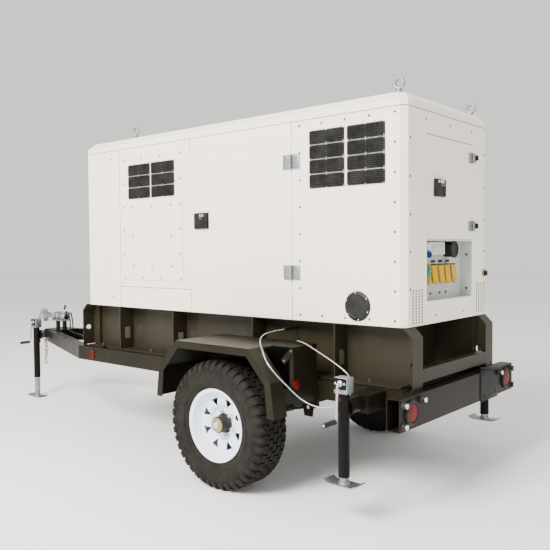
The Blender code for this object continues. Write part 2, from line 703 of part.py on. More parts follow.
def base_side(side):
    """Base side member: recessed face, top and bottom flanges, ribs with windows, folded ends."""
    name = "base_" + side_name(side)
    wall = 0.006
    x0, x1 = BASE_END_FRONT + 0.08, REAR - 0.030
    face = side_box(name, side, (x0, x1), (BASE_RECESS_Y - wall, BASE_RECESS_Y), (BASE_BOTTOM, BASE_TOP))
    bottom = side_box("bottom", side, (x0, x1), (BASE_RECESS_Y - wall, RIB_HALF_WIDTH),
                      (BASE_BOTTOM, BASE_BOTTOM + 0.010))
    top = side_box("top", side, (x0, x1), (BASE_RECESS_Y - wall, RIB_HALF_WIDTH - 0.010),
                   (BASE_TOP - 0.008, BASE_TOP))
    shapes = [bottom, top]
    for x in RIB_XS:
        rib = side_box("rib", side, (x - 0.004, x + 0.004), (BASE_RECESS_Y - 0.002, RIB_HALF_WIDTH),
                       (BASE_BOTTOM + 0.002, BASE_TOP - 0.001))
        window = side_box("window", side, (x - 0.02, x + 0.02), (0.435, 0.485), (0.745, 0.835))
        shapes.append(cut(rib, window))
    for end_x, inward in ((BASE_END_REAR, -1), (BASE_END_FRONT, 1)):
        fold = [(end_x, BASE_BOTTOM + 0.001), (end_x, 0.946), (end_x + inward * 0.052, BASE_TOP - 0.001),
                (end_x + inward * 0.062, BASE_TOP - 0.001), (end_x + inward * 0.062, BASE_TOP - 0.009),
                (end_x + inward * 0.056, BASE_TOP - 0.009), (end_x + inward * wall, 0.943),
                (end_x + inward * wall, BASE_BOTTOM + 0.001)]
        low, high = between(side * 0.420, side * RIB_HALF_WIDTH)
        shapes.append(plate("fold", fold, low, high))
        web = [(end_x + inward * 0.003, BASE_BOTTOM + 0.0015), (end_x + inward * 0.003, 0.942),
               (end_x + inward * 0.054, BASE_TOP - 0.005), (end_x + inward * 0.085, BASE_TOP - 0.005),
               (end_x + inward * 0.085, BASE_BOTTOM + 0.0015)]
        low, high = between(side * 0.4205, side * 0.4265)
        shapes.append(plate("web", web, low, high))
        link = side_box("link", side, between(end_x + inward * 0.075, end_x + inward * 0.085),
                        (BASE_RECESS_Y - 0.004, 0.425), (BASE_BOTTOM + 0.0025, BASE_TOP - 0.006))
        shapes.append(link)
    if side < 0:
        shapes.append(box("cable_arm", (REAR - 0.866, -0.524, 0.925),
                          (REAR - 0.854, -BASE_RECESS_Y + 0.002, 0.945)))
    piece = join(face, *shapes)
    hole = cylinder("hole", (BASE_END_REAR - 0.045, side * 0.42, 0.780), 0.026, 0.2, "Y", 20)
    front_hole = cylinder("front_hole", (BASE_END_FRONT, side * 0.478, 0.800), 0.024, 0.05, "X", 20)
    paint(cut(piece, hole, front_hole), "tank_black")


def base_rear_channel():
    """Cross channel between the side members at the rear end."""
    channel = box("base_rear_channel", (REAR - 0.010, -0.4195, 0.690), (REAR + 0.046, 0.4195, 0.765))
    bore = box("bore", (REAR - 0.020, -0.45, 0.696), (REAR + 0.040, 0.45, 0.759))
    paint(cut(channel, bore), "tank_black")


def fuel_tank():
    """Welded sheet tank between the side members, open only at its filler."""
    half = BASE_RECESS_Y - 0.006 - GAP
    x0, x1 = REAR - 2.850, REAR - 0.300
    tank = box("fuel_tank", (x0, -half, 0.672), (x1, half, 0.940))
    room = box("room", (x0 + 0.003, -half + 0.003, 0.675), (x1 - 0.003, half - 0.003, 0.937))
    filler = cylinder("filler", (REAR - 2.700, -0.30, 0.945), 0.035, 0.05, "Z", 20)
    paint(cut(tank, room, filler), "tank_black")


# ---------------------------------------------------------------- canopy
def canopy_outline(inset):
    """Plan of the canopy with chamfered corners, moved in by a distance."""
    x0, x1 = FRONT + inset, REAR - inset
    y1 = CANOPY_HALF_WIDTH - inset
    c = CORNER
    return [(x0 + c, -y1), (x1 - c, -y1), (x1, -y1 + c), (x1, y1 - c), (x1 - c, y1),
            (x0 + c, y1), (x0, y1 - c), (x0, -y1 + c)]


WALL_TOP = ROOF_SEAM - GAP
CORNER_SPLIT = 0.060         # where the side walls meet the end walls


def canopy_ring():
    """The whole wall ring, from which each wall takes its own stretch."""
    outer = plate("ring", canopy_outline(0.0), CANOPY_BOTTOM, WALL_TOP, "Z")
    inner = plate("inner", canopy_outline(SHEET), CANOPY_BOTTOM - 0.1, WALL_TOP + 0.1, "Z")
    return cut(outer, inner)


def keep(piece, low, high):
    """Only what lies inside a box stays."""
    return boolean(piece, box("keep", low, high), "INTERSECT")


def side_wall(side):
    """Long canopy wall with its doorway and the folded corners."""
    ring = canopy_ring()
    ring.name = "canopy_wall_" + side_name(side)
    low_y, high_y = between(side * 0.40, side * 0.60)
    wall = keep(ring, (FRONT + CORNER_SPLIT + GAP, low_y, 0.9), (REAR - CORNER_SPLIT - GAP, high_y, 2.4))
    door = side_box("door", side, (DOOR_FRONT_X, DOOR_REAR_X), (0.50, 0.56), (DOOR_BOTTOM, DOOR_TOP))
    wall = cut(wall, door)
    rebates = []
    for z0, z1 in ((DOOR_BOTTOM - 0.030, DOOR_BOTTOM + 0.012), (DOOR_TOP - 0.012, DOOR_TOP + 0.030)):
        rebates.append(side_box("rebate", side, (DOOR_FRONT_X - 0.030, DOOR_REAR_X + 0.030),
                                (0.5262, 0.5292), (z0, z1)))
    rebates.append(side_box("rebate", side, (DOOR_FRONT_X - 0.030, DOOR_FRONT_X + 0.012),
                            (0.5262, 0.5292), (DOOR_BOTTOM - 0.029, DOOR_TOP + 0.029)))
    paint(join(wall, *rebates), "canopy_white")


def end_wall(name, x_inner, x_outer):
    """Front or rear canopy wall."""
    ring = canopy_ring()
    ring.name = name
    x0, x1 = between(x_inner, x_outer)
    return keep(ring, (x0, -0.6, 0.9), (x1, 0.6, 2.4))


def front_wall():
    """Front wall with the radiator's air outlet."""
    wall = end_wall("canopy_front_wall", FRONT - 0.01, FRONT + CORNER_SPLIT)
    slots = []
    for row in range(6):
        z = 1.35 + 0.11 * row
        for low, high in ((-0.34, -0.02), (0.02, 0.34)):
            slots.append(box("slot", (FRONT - 0.05, low, z), (FRONT + 0.05, high, z + 0.045)))
    paint(cut(wall, *slots), "canopy_white")


def rear_wall():
    """Rear wall with the control doorway and the socket recess under it."""
    wall = end_wall("canopy_rear_wall", REAR - CORNER_SPLIT, REAR + 0.01)
    doorway = box("doorway", (REAR - 0.05, PANEL_HALF_WIDTH_LOW, CONTROL_DOOR_BOTTOM),
                  (REAR + 0.05, PANEL_HALF_WIDTH_HIGH, CONTROL_DOOR_TOP))
    recess = box("recess", (REAR - 0.05, PANEL_HALF_WIDTH_LOW, RECESS_BOTTOM),
                 (REAR + 0.05, PANEL_HALF_WIDTH_HIGH, CONTROL_DOOR_BOTTOM - 0.004))
    paint(cut(wall, doorway, recess), "canopy_white")


def socket_panel():
    """Open-fronted box in the recess; the outlets sit on its back."""
    depth, wall = RECESS_DEPTH, 0.002
    y0, y1 = PANEL_HALF_WIDTH_LOW + GAP, PANEL_HALF_WIDTH_HIGH - GAP
    z0, z1 = RECESS_BOTTOM + GAP, CONTROL_DOOR_BOTTOM - 0.004 - GAP
    tray = box("socket_panel", (REAR - depth, y0, z0), (REAR - 0.0005, y1, z1))
    room = box("room", (REAR - depth + wall, y0 + wall, z0 + wall), (REAR + 0.02, y1 - wall, z1 - wall))
    tray = cut(tray, room)
    outlets = []
    for index in range(4):
        y = -0.145 + 0.083 * index
        outlets.append(box("outlet", (REAR - depth + 0.001, y - 0.030, 1.222),
                           (REAR - depth + 0.045, y + 0.030, 1.338)))
    breakers = box("breakers", (REAR - depth + 0.001, -0.180, 1.400), (REAR - depth + 0.040, 0.010, 1.470))
    big_socket = cylinder("big_socket", (REAR - depth + 0.031, 0.100, 1.428), 0.045, 0.060, "X", 20)
    paint(join(tray, breakers, big_socket, *outlets), "canopy_white")


def canopy_roof():
    """Roof cap with sloping edges and a lifting eye near each corner."""
    low = plate("canopy_roof", canopy_outline(0.0), ROOF_SEAM, ROOF_SEAM + 0.040, "Z")
    base = canopy_outline(0.0)
    top = canopy_outline(0.045)
    shape = bmesh.new()
    lower_ring = [shape.verts.new((x, y, ROOF_SEAM + 0.040)) for x, y in base]
    upper_ring = [shape.verts.new((x, y, ROOF_TOP)) for x, y in top]
    shape.faces.new(lower_ring[::-1])
    shape.faces.new(upper_ring)
    for i in range(len(base)):
        j = (i + 1) % len(base)
        shape.faces.new((lower_ring[i], lower_ring[j], upper_ring[j], upper_ring[i]))
    bmesh.ops.translate(shape, vec=(0, 0, -0.0001), verts=lower_ring)
    mesh = bpy.data.meshes.new("slope")
    shape.to_mesh(mesh)
    shape.free()
    cap = join(low, mesh_object("slope", mesh))
    low_room = plate("low_room", canopy_outline(SHEET), ROOF_SEAM - 0.01, ROOF_SEAM + 0.037, "Z")
    high_room = plate("high_room", canopy_outline(0.050), ROOF_SEAM - 0.01, ROOF_TOP - SHEET, "Z")
    cap = cut(cap, low_room, high_room)
    for x in LIFT_XS:
        for y in (-LIFT_Y, LIFT_Y):
            foot = cylinder("foot", (x, y, ROOF_TOP + 0.0055), 0.019, 0.013, "Z", 12)
            eye = torus("eye", (x, y, ROOF_TOP + 0.052), 0.027, 0.0085, "Y", 1.0, 6, 12)
            neck = cylinder("neck", (x, y, ROOF_TOP + 0.017), 0.011, 0.024, "Z", 12)
            cap = join(cap, foot, neck, eye)
    paint(cap, "canopy_white")


LIFT_XS = (REAR - 0.080, REAR - 2.380)
LIFT_Y = 0.460


def service_panel(side):
    """Bolted panel that stands proud of the side wall ahead of the door."""
    panel = side_box("service_panel_" + side_name(side), side, (REAR - 2.455, REAR - 1.780),
                     (CANOPY_HALF_WIDTH + GAP, CANOPY_HALF_WIDTH + 0.0065), (1.212, 2.140))
    bevel = panel.modifiers.new("edges", "BEVEL")
    bevel.width = 0.002
    bevel.segments = 1
    paint(panel, "canopy_white")


# ---------------------------------------------------------------- doors and latches
SIDE_HINGE_X = DOOR_REAR_X - 0.004
SIDE_HINGE_Y = CANOPY_HALF_WIDTH + 0.012
CONTROL_HINGE_X = REAR + 0.012
CONTROL_HINGE_Y = PANEL_HALF_WIDTH_HIGH - 0.004


def side_door(side):
    """Filler and service door: flat leaf, turned edges, two outside hinges."""
    pivot = (SIDE_HINGE_X, side * SIDE_HINGE_Y, 1.60)
    x0, x1 = DOOR_FRONT_X + DOOR_GAP, DOOR_REAR_X - DOOR_GAP
    z0, z1 = DOOR_BOTTOM + DOOR_GAP, DOOR_TOP - DOOR_GAP
    leaf = side_box("side_door_" + side_name(side), side, (x0, x1),
                    (CANOPY_HALF_WIDTH - 0.0025, CANOPY_HALF_WIDTH + 0.0005), (z0, z1))
    stiffener = side_box("stiffener", side, (x0 + 0.040, x1 - 0.040),
                         (CANOPY_HALF_WIDTH - 0.020, CANOPY_HALF_WIDTH - 0.002), (z0 + 0.040, z1 - 0.040))
    hollow = side_box("hollow", side, (x0 + 0.043, x1 - 0.043),
                      (CANOPY_HALF_WIDTH - 0.030, CANOPY_HALF_WIDTH - 0.0024), (z0 + 0.043, z1 - 0.043))
    shapes = [cut(stiffener, hollow)]
    for z in (1.292, 1.970):
        shapes.append(side_box("strap", side, (x1 - 0.060, SIDE_HINGE_X), (CANOPY_HALF_WIDTH - 0.001,
                               CANOPY_HALF_WIDTH + 0.008), (z - 0.042, z + 0.042)))
        shapes.append(cylinder("knuckle", (SIDE_HINGE_X, side * SIDE_HINGE_Y, z), 0.009, 0.084, "Z", 14))
    paint(join(leaf, *shapes), "canopy_white", pivot)


def control_door():
    """Door over the instruments, hinged on its right edge."""
    pivot = (CONTROL_HINGE_X, CONTROL_HINGE_Y, 1.78)
    y0, y1 = PANEL_HALF_WIDTH_LOW + DOOR_GAP, PANEL_HALF_WIDTH_HIGH - DOOR_GAP
    z0, z1 = CONTROL_DOOR_BOTTOM + DOOR_GAP, CONTROL_DOOR_TOP - DOOR_GAP
    leaf = box("control_door", (REAR - 0.0025, y0, z0), (REAR + 0.0005, y1, z1))
    stiffener = box("stiffener", (REAR - 0.016, y0 + 0.030, z0 + 0.030),
                    (REAR - 0.002, y1 - 0.030, z1 - 0.030))
    hollow = box("hollow", (REAR - 0.030, y0 + 0.033, z0 + 0.033),
                 (REAR - 0.0024, y1 - 0.033, z1 - 0.033))
    shapes = [cut(stiffener, hollow)]
    for z in (1.573, 2.000):
        shapes.append(box("strap", (REAR - 0.001, y1 - 0.050, z - 0.030),
                          (REAR + 0.007, CONTROL_HINGE_Y, z + 0.030)))
        shapes.append(cylinder("knuckle", (CONTROL_HINGE_X, CONTROL_HINGE_Y, z), 0.008, 0.060, "Z", 14))
    paint(join(leaf, *shapes), "canopy_white", pivot)


LATCH_X = DOOR_FRONT_X + 0.115
LATCH_Z = 1.635
CONTROL_LATCH_Y = -0.150
CONTROL_LATCH_Z = 1.785


def side_latch(side):
    """Square paddle of the door lock; it lifts about its top edge."""
    y_low, y_high = CANOPY_HALF_WIDTH + 0.0008, CANOPY_HALF_WIDTH + 0.020
    paddle = side_box("side_latch_" + side_name(side), side, (LATCH_X - 0.062, LATCH_X + 0.062),
                      (y_low, y_high), (LATCH_Z - 0.052, LATCH_Z + 0.052))
    grip_room = side_box("grip_room", side, (LATCH_X - 0.040, LATCH_X + 0.040), (y_low - 0.01, y_low + 0.011),
                         (LATCH_Z - 0.080, LATCH_Z + 0.020))
    pivot = (LATCH_X, side * (y_low + 0.012), LATCH_Z + 0.052)
    paint(cut(paddle, grip_room), "black_plastic", pivot)


def control_latch():
    """Paddle of the control door's lock."""
    x_low, x_high = REAR + 0.0008, REAR + 0.022
    y, z = CONTROL_LATCH_Y, CONTROL_LATCH_Z
    paddle = box("control_latch", (x_low, y - 0.060, z - 0.050), (x_high, y + 0.060, z + 0.050))
    grip_room = box("grip_room", (x_low - 0.01, y - 0.040, z - 0.080), (x_low + 0.012, y + 0.040, z + 0.018))
    paint(cut(paddle, grip_room), "black_plastic", (x_low + 0.012, y, z + 0.050))


# ---------------------------------------------------------------- inside the canopy
def engine():
    """Cylinder block with its crankcase open at the bottom, and the cylinder head."""
    block = box("engine_block", (REAR - 2.150, -0.210, 1.060), (REAR - 1.350, 0.210, 1.560))
    crankcase = box("crankcase", (REAR - 2.130, -0.190, 1.000), (REAR - 1.370, 0.190, 1.540))
    chamber = box("chamber", (REAR - 2.100, -0.130, 1.500), (REAR - 1.400, 0.130, 1.660))
    head = box("head", (REAR - 2.120, -0.150, 1.550), (REAR - 1.380, 0.150, 1.680))
    pulley = cylinder("pulley", (REAR - 2.165, 0.0, 1.150), 0.090, 0.034, "X", 24)
    fan_boss = cylinder("fan_boss", (REAR - 2.180, 0.0, 1.480), 0.040, 0.064, "X", 20)
    feet = [box("foot", (x, -0.290, 1.0605), (x + 0.09, 0.290, 1.090)) for x in (REAR - 2.10, REAR - 1.50)]
    block = join(block, head, pulley, fan_boss, *feet)
    paint(cut(block, crankcase, chamber), "engine_blue")


def engine_bed():
    """Pressed pan on the base members: a deck for the engine and alternator, a lower one behind."""
    x0, step_x, x1 = REAR - 2.200, REAR - 0.900, REAR - 0.300
    deck, low_deck, foot, wall = 1.0597, 1.0000, 0.9405, 0.006
    bed = plate("engine_bed", [(x0, foot), (x1, foot), (x1, low_deck), (step_x, low_deck),
                               (step_x, deck), (x0, deck)], -0.393, 0.393)
    room = plate("room", [(x0 + wall, foot - 0.02), (x1 - wall, foot - 0.02), (x1 - wall, low_deck - wall),
                          (step_x - wall, low_deck - wall), (step_x - wall, deck - wall),
                          (x0 + wall, deck - wall)], -0.387, 0.387)
    paint(cut(bed, room), "chassis_black")


def cooling_fan():
    """Six-bladed pusher fan on the engine's front boss."""
    centre = (REAR - 2.2330, 0.0, 1.480)
    fan = cylinder("cooling_fan", centre, 0.060, 0.040, "X", 20)
    blades = []
    for step in range(6):
        blade = box("blade", (-0.004, -0.045, 0.050), (0.004, 0.045, 0.235))
        twist = Matrix.Rotation(math.radians(28), 4, "Z")
        around = Matrix.Rotation(math.radians(60 * step), 4, "X")
        blade.matrix_world = Matrix.Translation(centre) @ around @ twist @ Matrix.Translation(blade.location)
        blades.append(bake(blade))
    paint(join(fan, *blades), "black_plastic", centre)


def radiator():
    """Radiator core with its top and bottom tanks, and the fan's opening in the cowl."""
    core = box("radiator", (REAR - 2.460, -0.330, 1.010), (REAR - 2.340, 0.330, 1.900))
    cowl_room = cylinder("cowl_room", (REAR - 2.350, 0.0, 1.480), 0.260, 0.140, "X", 28)
    air_room = box("air_room", (REAR - 2.500, -0.280, 1.120), (REAR - 2.430, 0.280, 1.790))
    paint(cut(core, cowl_room, air_room), "aluminium")


def alternator():
    """Generator end bolted behind the engine, open at its cooling end."""
    body = cylinder("alternator", (REAR - 1.020, 0.0, 1.330), 0.245, 0.600, "X", 32)
    room = cylinder("room", (REAR - 0.960, 0.0, 1.330), 0.215, 0.560, "X", 24)
    terminal = box("terminal", (REAR - 1.140, -0.160, 1.540), (REAR - 0.800, 0.160, 1.680))
    feet = box("feet", (REAR - 1.030, -0.220, 1.0605), (REAR - 0.930, 0.220, 1.120))
    bell = cylinder("bell", (REAR - 1.3345, 0.0, 1.330), 0.200, 0.030, "X", 28)
    paint(join(cut(body, room), terminal, feet, bell), "engine_blue")


def battery():
    """Starter battery in its tray on the right-hand member."""
    case = box("battery", (REAR - 0.720, -0.200, 1.0005), (REAR - 0.380, 0.000, 1.200))
    post = cylinder("post", (REAR - 0.660, -0.100, 1.205), 0.010, 0.030, "Z", 12)
    other = cylinder("other", (REAR - 0.440, -0.100, 1.205), 0.010, 0.030, "Z", 12)
    paint(join(case, post, other), "black_plastic")


def muffler():
    """Residential silencer above the engine, with its outlet pipe through the front."""
    body = cylinder("muffler", (REAR - 1.600, 0.0, 1.960), 0.130, 0.900, "X", 28)
    room = cylinder("room", (REAR - 1.560, 0.0, 1.960), 0.124, 0.880, "X", 28)
    inlet = cylinder("inlet", (REAR - 1.750, 0.0, 1.760), 0.045, 0.158, "Z", 20)
    paint(join(cut(body, room), inlet), "aluminium")


def control_unit():
    """Instrument and switchgear box behind the control door."""
    case = box("control_unit", (REAR - 0.300, PANEL_HALF_WIDTH_LOW + 0.02, 1.500),
               (REAR - 0.060, PANEL_HALF_WIDTH_HIGH - 0.02, 2.060))
    room = box("room", (REAR - 0.320, PANEL_HALF_WIDTH_LOW + 0.023, 1.503),
               (REAR - 0.063, PANEL_HALF_WIDTH_HIGH - 0.023, 2.057))
    screen = box("screen", (REAR - 0.0615, -0.150, 1.860), (REAR - 0.050, 0.050, 2.000))
    paint(join(cut(case, room), screen), "black_plastic")


# ---------------------------------------------------------------- breakaway cable
CABLE_RADIUS = 0.00325
CABLE_ROUTE = (               # x behind the canopy's rear face, y, z
    (-0.697, -0.604, 0.8830), (-0.640, -0.655, 0.8900), (-0.560, -0.700, 0.8880),
    (-0.402, -0.770, 0.8560), (-0.272, -0.812, 0.8180), (-0.180, -0.832, 0.7760),
    (-0.143, -0.834, 0.7200), (-0.160, -0.834, 0.6640), (-0.200, -0.834, 0.6270),
    (-0.250, -0.834, 0.5960), (-0.322, -0.836, 0.5740), (-0.397, -0.840, 0.5750),
    (-0.461, -0.855, 0.5990), (-0.501, -0.880, 0.6380), (-0.536, -0.910, 0.6850),
    (-0.577, -0.930, 0.7290), (-0.613, -0.940, 0.7680), (-0.652, -0.940, 0.8100),
    (-0.690, -0.926, 0.8590), (-0.745, -0.884, 0.8970), (-0.812, -0.800, 0.9140),
    (-0.862, -0.700, 0.9240), (-0.884, -0.600, 0.9260), (-0.862, -0.5285, 0.9350),
)


def tie_cable():
    """Wire rope from the step's lug, down behind the left jack and back to the base's arm."""
    route = [(REAR + x, y, z) for x, y, z in CABLE_ROUTE]
    paint(rod("tie_cable", smooth_route(route, 0.045), CABLE_RADIUS, 2), "wire_rope")


# ---------------------------------------------------------------- build everything
front_cross_member()
rear_outrigger()
bumper_beam()
drawbar_nose()
coupling()
safety_chain()
tie_cable()
axle()
base_rear_channel()
fuel_tank()
front_wall()
rear_wall()
socket_panel()
canopy_roof()
control_door()
control_latch()
engine()
engine_bed()
cooling_fan()
radiator()
alternator()
battery()
muffler()
control_unit()
for side in (-1, 1):
    rail(side)
    tail_lamp(side)
    leaf_spring(side)
    wheel(side)
    fender(side)
    base_side(side)
    side_wall(side)
    service_panel(side)
    side_door(side)
    side_latch(side)
jack("left", REAR_JACK_X, -REAR_JACK_Y, -1, REAR_PIVOT_Z, REAR_JACK_FOOT_Z + 0.018, REAR_JACK_FOOT_Z, 0.640)
jack("right", REAR_JACK_X, REAR_JACK_Y, 1, REAR_PIVOT_Z, REAR_JACK_FOOT_Z + 0.018, REAR_JACK_FOOT_Z, 0.640)
jack("front", FRONT_JACK_X, FRONT_JACK_Y, -1, FRONT_PIVOT_Z, 0.190, 0.0, 0.490)
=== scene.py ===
# %% [markdown]
# # A towable diesel generator
#
# A steel canopy with an engine and an alternator inside stands on a single-axle road
# trailer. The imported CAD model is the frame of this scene: it gives every place and size.
# We keep its flat sheet-metal pieces and give them paint, and we model the pieces whose
# character is in their detail: tyres, rims, lamps, jacks, louvres, hinges and outlets.

# %% Load the frame
import math

import bmesh
import bpy
from mathutils import Matrix, Vector


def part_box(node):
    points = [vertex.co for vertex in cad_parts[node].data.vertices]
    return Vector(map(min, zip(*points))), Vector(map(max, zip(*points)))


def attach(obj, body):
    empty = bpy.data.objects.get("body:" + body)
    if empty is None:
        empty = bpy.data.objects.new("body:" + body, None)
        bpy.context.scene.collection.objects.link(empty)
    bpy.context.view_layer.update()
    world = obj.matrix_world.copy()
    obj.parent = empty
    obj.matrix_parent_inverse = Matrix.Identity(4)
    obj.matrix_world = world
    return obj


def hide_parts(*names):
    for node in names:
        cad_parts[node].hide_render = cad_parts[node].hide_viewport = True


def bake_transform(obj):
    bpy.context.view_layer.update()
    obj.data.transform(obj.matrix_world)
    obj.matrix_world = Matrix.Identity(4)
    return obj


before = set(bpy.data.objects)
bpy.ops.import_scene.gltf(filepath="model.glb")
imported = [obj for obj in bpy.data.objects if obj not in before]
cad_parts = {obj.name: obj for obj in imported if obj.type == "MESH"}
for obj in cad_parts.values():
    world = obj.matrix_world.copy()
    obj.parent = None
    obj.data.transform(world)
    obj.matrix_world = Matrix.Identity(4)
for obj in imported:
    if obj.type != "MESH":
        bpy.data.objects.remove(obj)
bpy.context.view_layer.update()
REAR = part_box("canopy_rear_wall")[1][0]
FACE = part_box("canopy_wall_right")[1][1]
print("canopy rear face at x", round(REAR, 4), "and side face at y", round(FACE, 4))

# %% [markdown]
# ## Camera, floor and light
#
# The camera stands by the left rear corner, at about the height of a person's chest, with
# a lens near 45 mm. Its axes are worked out from three angles and put in one matrix. The
# light is a big soft key from the camera's left, a fill from the right and a bright world,
# so that white paint stays white and the black frame keeps its edges.

# %% Camera
YAW, PITCH, ROLL = math.radians(-40.29), math.radians(-2.08), math.radians(-0.42)
forward = Vector((math.sin(YAW) * math.cos(PITCH), math.cos(YAW) * math.cos(PITCH), math.sin(PITCH)))
level = Vector((math.cos(YAW), -math.sin(YAW), 0.0))
lift = level.cross(forward)
right_axis = level * math.cos(ROLL) + lift * math.sin(ROLL)
up_axis = -level * math.sin(ROLL) + lift * math.cos(ROLL)
lens = bpy.data.cameras.new("studio_camera")
lens.sensor_width = 36.0
lens.lens = 36.0 * 687.0 / 550.0
camera = bpy.data.objects.new("studio_camera", lens)
bpy.context.scene.collection.objects.link(camera)
turn = Matrix((right_axis, up_axis, -forward)).transposed().to_4x4()
camera.matrix_world = Matrix.Translation((REAR + 1.869, -3.831, 1.431)) @ turn
bpy.context.scene.camera = camera
print("camera at", [round(v, 3) for v in camera.location], "lens", round(lens.lens, 2))

# %% Floor, world and lamps
bpy.ops.object.select_all(action="DESELECT")
bpy.ops.mesh.primitive_plane_add(size=90.0, location=(0, 0, 0))
floor = bpy.context.object
floor.name = "studio_floor"
floor_paint = bpy.data.materials.new("studio_floor")
floor_paint.use_nodes = True
floor_shader = floor_paint.node_tree.nodes["Principled BSDF"]
floor_shader.inputs["Base Color"].default_value = (0.97, 0.97, 0.97, 1.0)
floor_shader.inputs["Roughness"].default_value = 0.9
floor.data.materials.append(floor_paint)

world = bpy.data.worlds.new("studio")
world.use_nodes = True
world.node_tree.nodes["Background"].inputs["Color"].default_value = (1.0, 0.985, 0.955, 1.0)
world.node_tree.nodes["Background"].inputs["Strength"].default_value = 1.10
bpy.context.scene.world = world


def soft_lamp(name, place, target, size, power, colour):
    """Square area lamp that looks at a point."""
    lamp = bpy.data.lights.new(name, "AREA")
    lamp.size = size
    lamp.energy = power
    lamp.color = colour
    holder = bpy.data.objects.new(name, lamp)
    bpy.context.scene.collection.objects.link(holder)
    holder.location = place
    holder.rotation_euler = (Vector(target) - Vector(place)).to_track_quat("-Z", "Y").to_euler()


soft_lamp("key", (1.0, -7.5, 6.5), (0.3, 0, 0.9), 4.0, 2100.0, (1.0, 0.955, 0.88))
soft_lamp("fill", (7.5, 1.0, 4.5), (1.5, 0, 1.0), 4.0, 60.0, (0.95, 0.98, 1.0))

# %% [markdown]
# ## A short way to write shader maths
#
# A material is a small program. Wrapping a socket in a class that overloads + - * lets an
# expression such as `0.2 + mask * 0.3` build its Math nodes by itself. Colours go through
# Mix nodes, because a Math node would turn them grey.

# %% Shader helper
class Wire:
    """One output socket, with arithmetic that adds Math nodes."""

    def __init__(self, tree, socket):
        self.tree = tree
        self.socket = socket

    def math(self, operation, other, swap=False):
        first, second = (other, self) if swap else (self, other)
        return self.tree.node("ShaderNodeMath", {"operation": operation}, {0: first, 1: second})

    def __add__(self, other):
        return self.math("ADD", other)

    def __radd__(self, other):
        return self.math("ADD", other, True)

    def __sub__(self, other):
        return self.math("SUBTRACT", other)

    def __mul__(self, other):
        return self.math("MULTIPLY", other)


class Finish:
    """A material, its Principled shader and one method that adds any node."""

    def __init__(self, name, **constants):
        self.material = bpy.data.materials.new(name)
        self.material.use_nodes = True
        self.nodes = self.material.node_tree.nodes
        self.links = self.material.node_tree.links
        self.shader = self.nodes["Principled BSDF"]
        for socket, value in constants.items():
            self.shader.inputs[socket.replace("_", " ")].default_value = value

    def node(self, kind, settings=None, inputs=None, output=0):
        made = self.nodes.new(kind)
        for key, value in (settings or {}).items():
            setattr(made, key, value)
        for key, value in (inputs or {}).items():
            if isinstance(value, Wire):
                self.links.new(value.socket, made.inputs[key])
            else:
                made.inputs[key].default_value = value
        return Wire(self, made.outputs[output])

    def place(self):
        return self.node("ShaderNodeTexCoord", output=3)

    def noise(self, scale, detail=3.0, rough=0.5, stretch=None):
        where = self.place()
        if stretch:
            where = self.node("ShaderNodeMapping", {}, {"Vector": where, "Scale": stretch})
        return self.node("ShaderNodeTexNoise", {}, {"Vector": where, "Scale": scale, "Detail": detail,
                                                    "Roughness": rough})

    def mask(self, wire, low, high):
        return self.node("ShaderNodeMapRange", {}, {"Value": wire, "From Min": low, "From Max": high})

    def blend(self, factor, first, second):
        return self.node("ShaderNodeMix", {"data_type": "RGBA"},
                         {0: factor, 6: first, 7: second}, output=2)

    def give(self, socket, wire):
        self.links.new(wire.socket, self.shader.inputs[socket])

    def bump(self, height, distance):
        self.give("Normal", self.node("ShaderNodeBump", {}, {"Height": height, "Distance": distance}))


def tone(r, g, b):
    return (r, g, b, 1.0)


# %% [markdown]
# ## Paints and metals
#
# Powder coat has an orange-peel skin a few millimetres across and carries patches of dust.
# Galvanised steel shows zinc crystals, called spangle. Rubber is brown-black
# with dry dust. Each finish is one function call with its own colours and scales.

# %% Painted sheet metal
def powder_coat(name, colour, dusty, roughness, peel, dust, shine=0.5):
    """Paint whose skin is slightly uneven and which carries patches of road dust."""
    coat = Finish(name, IOR=1.5, Specular_IOR_Level=shine)
    cloud = coat.noise(1.7, 4.0, 0.55)
    streak = coat.noise(9.0, 3.0, 0.6, (1.0, 1.0, 0.12))
    amount = coat.mask(cloud * 0.6 + streak * 0.4, 0.46, 0.72) * dust
    coat.give("Base Color", coat.blend(amount, colour, dusty))
    fine = coat.noise(240.0, 2.0, 0.5)
    coat.give("Roughness", roughness + amount * 0.35 + (fine - 0.5) * 0.06)
    coat.bump(fine, peel)
    return coat.material


canopy_paint = powder_coat("canopy_paint", tone(0.95, 0.890, 0.770), tone(0.88, 0.82, 0.70), 0.36, 0.00012,
                           0.30)
chassis_paint = powder_coat("chassis_paint", tone(0.010, 0.0086, 0.0052), tone(0.034, 0.029, 0.018), 0.34,
                            0.00010, 0.35,
                            0.10)
base_paint = powder_coat("base_paint", tone(0.026, 0.022, 0.014), tone(0.070, 0.060, 0.040), 0.35, 0.00010,
                         0.40, 0.16)
jack_paint = powder_coat("jack_paint", tone(0.004, 0.004, 0.004), tone(0.018, 0.017, 0.015), 0.36, 0.00008,
                         0.25, 0.10)
rim_paint = powder_coat("rim_paint", tone(0.78, 0.87, 1.00), tone(0.68, 0.77, 0.92), 0.24, 0.00006, 0.20)
engine_paint = powder_coat("engine_paint", tone(0.05, 0.10, 0.19), tone(0.10, 0.11, 0.12), 0.38, 0.00030,
                           0.60)
tray_paint = powder_coat("tray_paint", tone(0.52, 0.55, 0.54), tone(0.42, 0.44, 0.43), 0.42, 0.00008, 0.40)
print("paints:", [m.name for m in bpy.data.materials if m.name.endswith("_paint")])


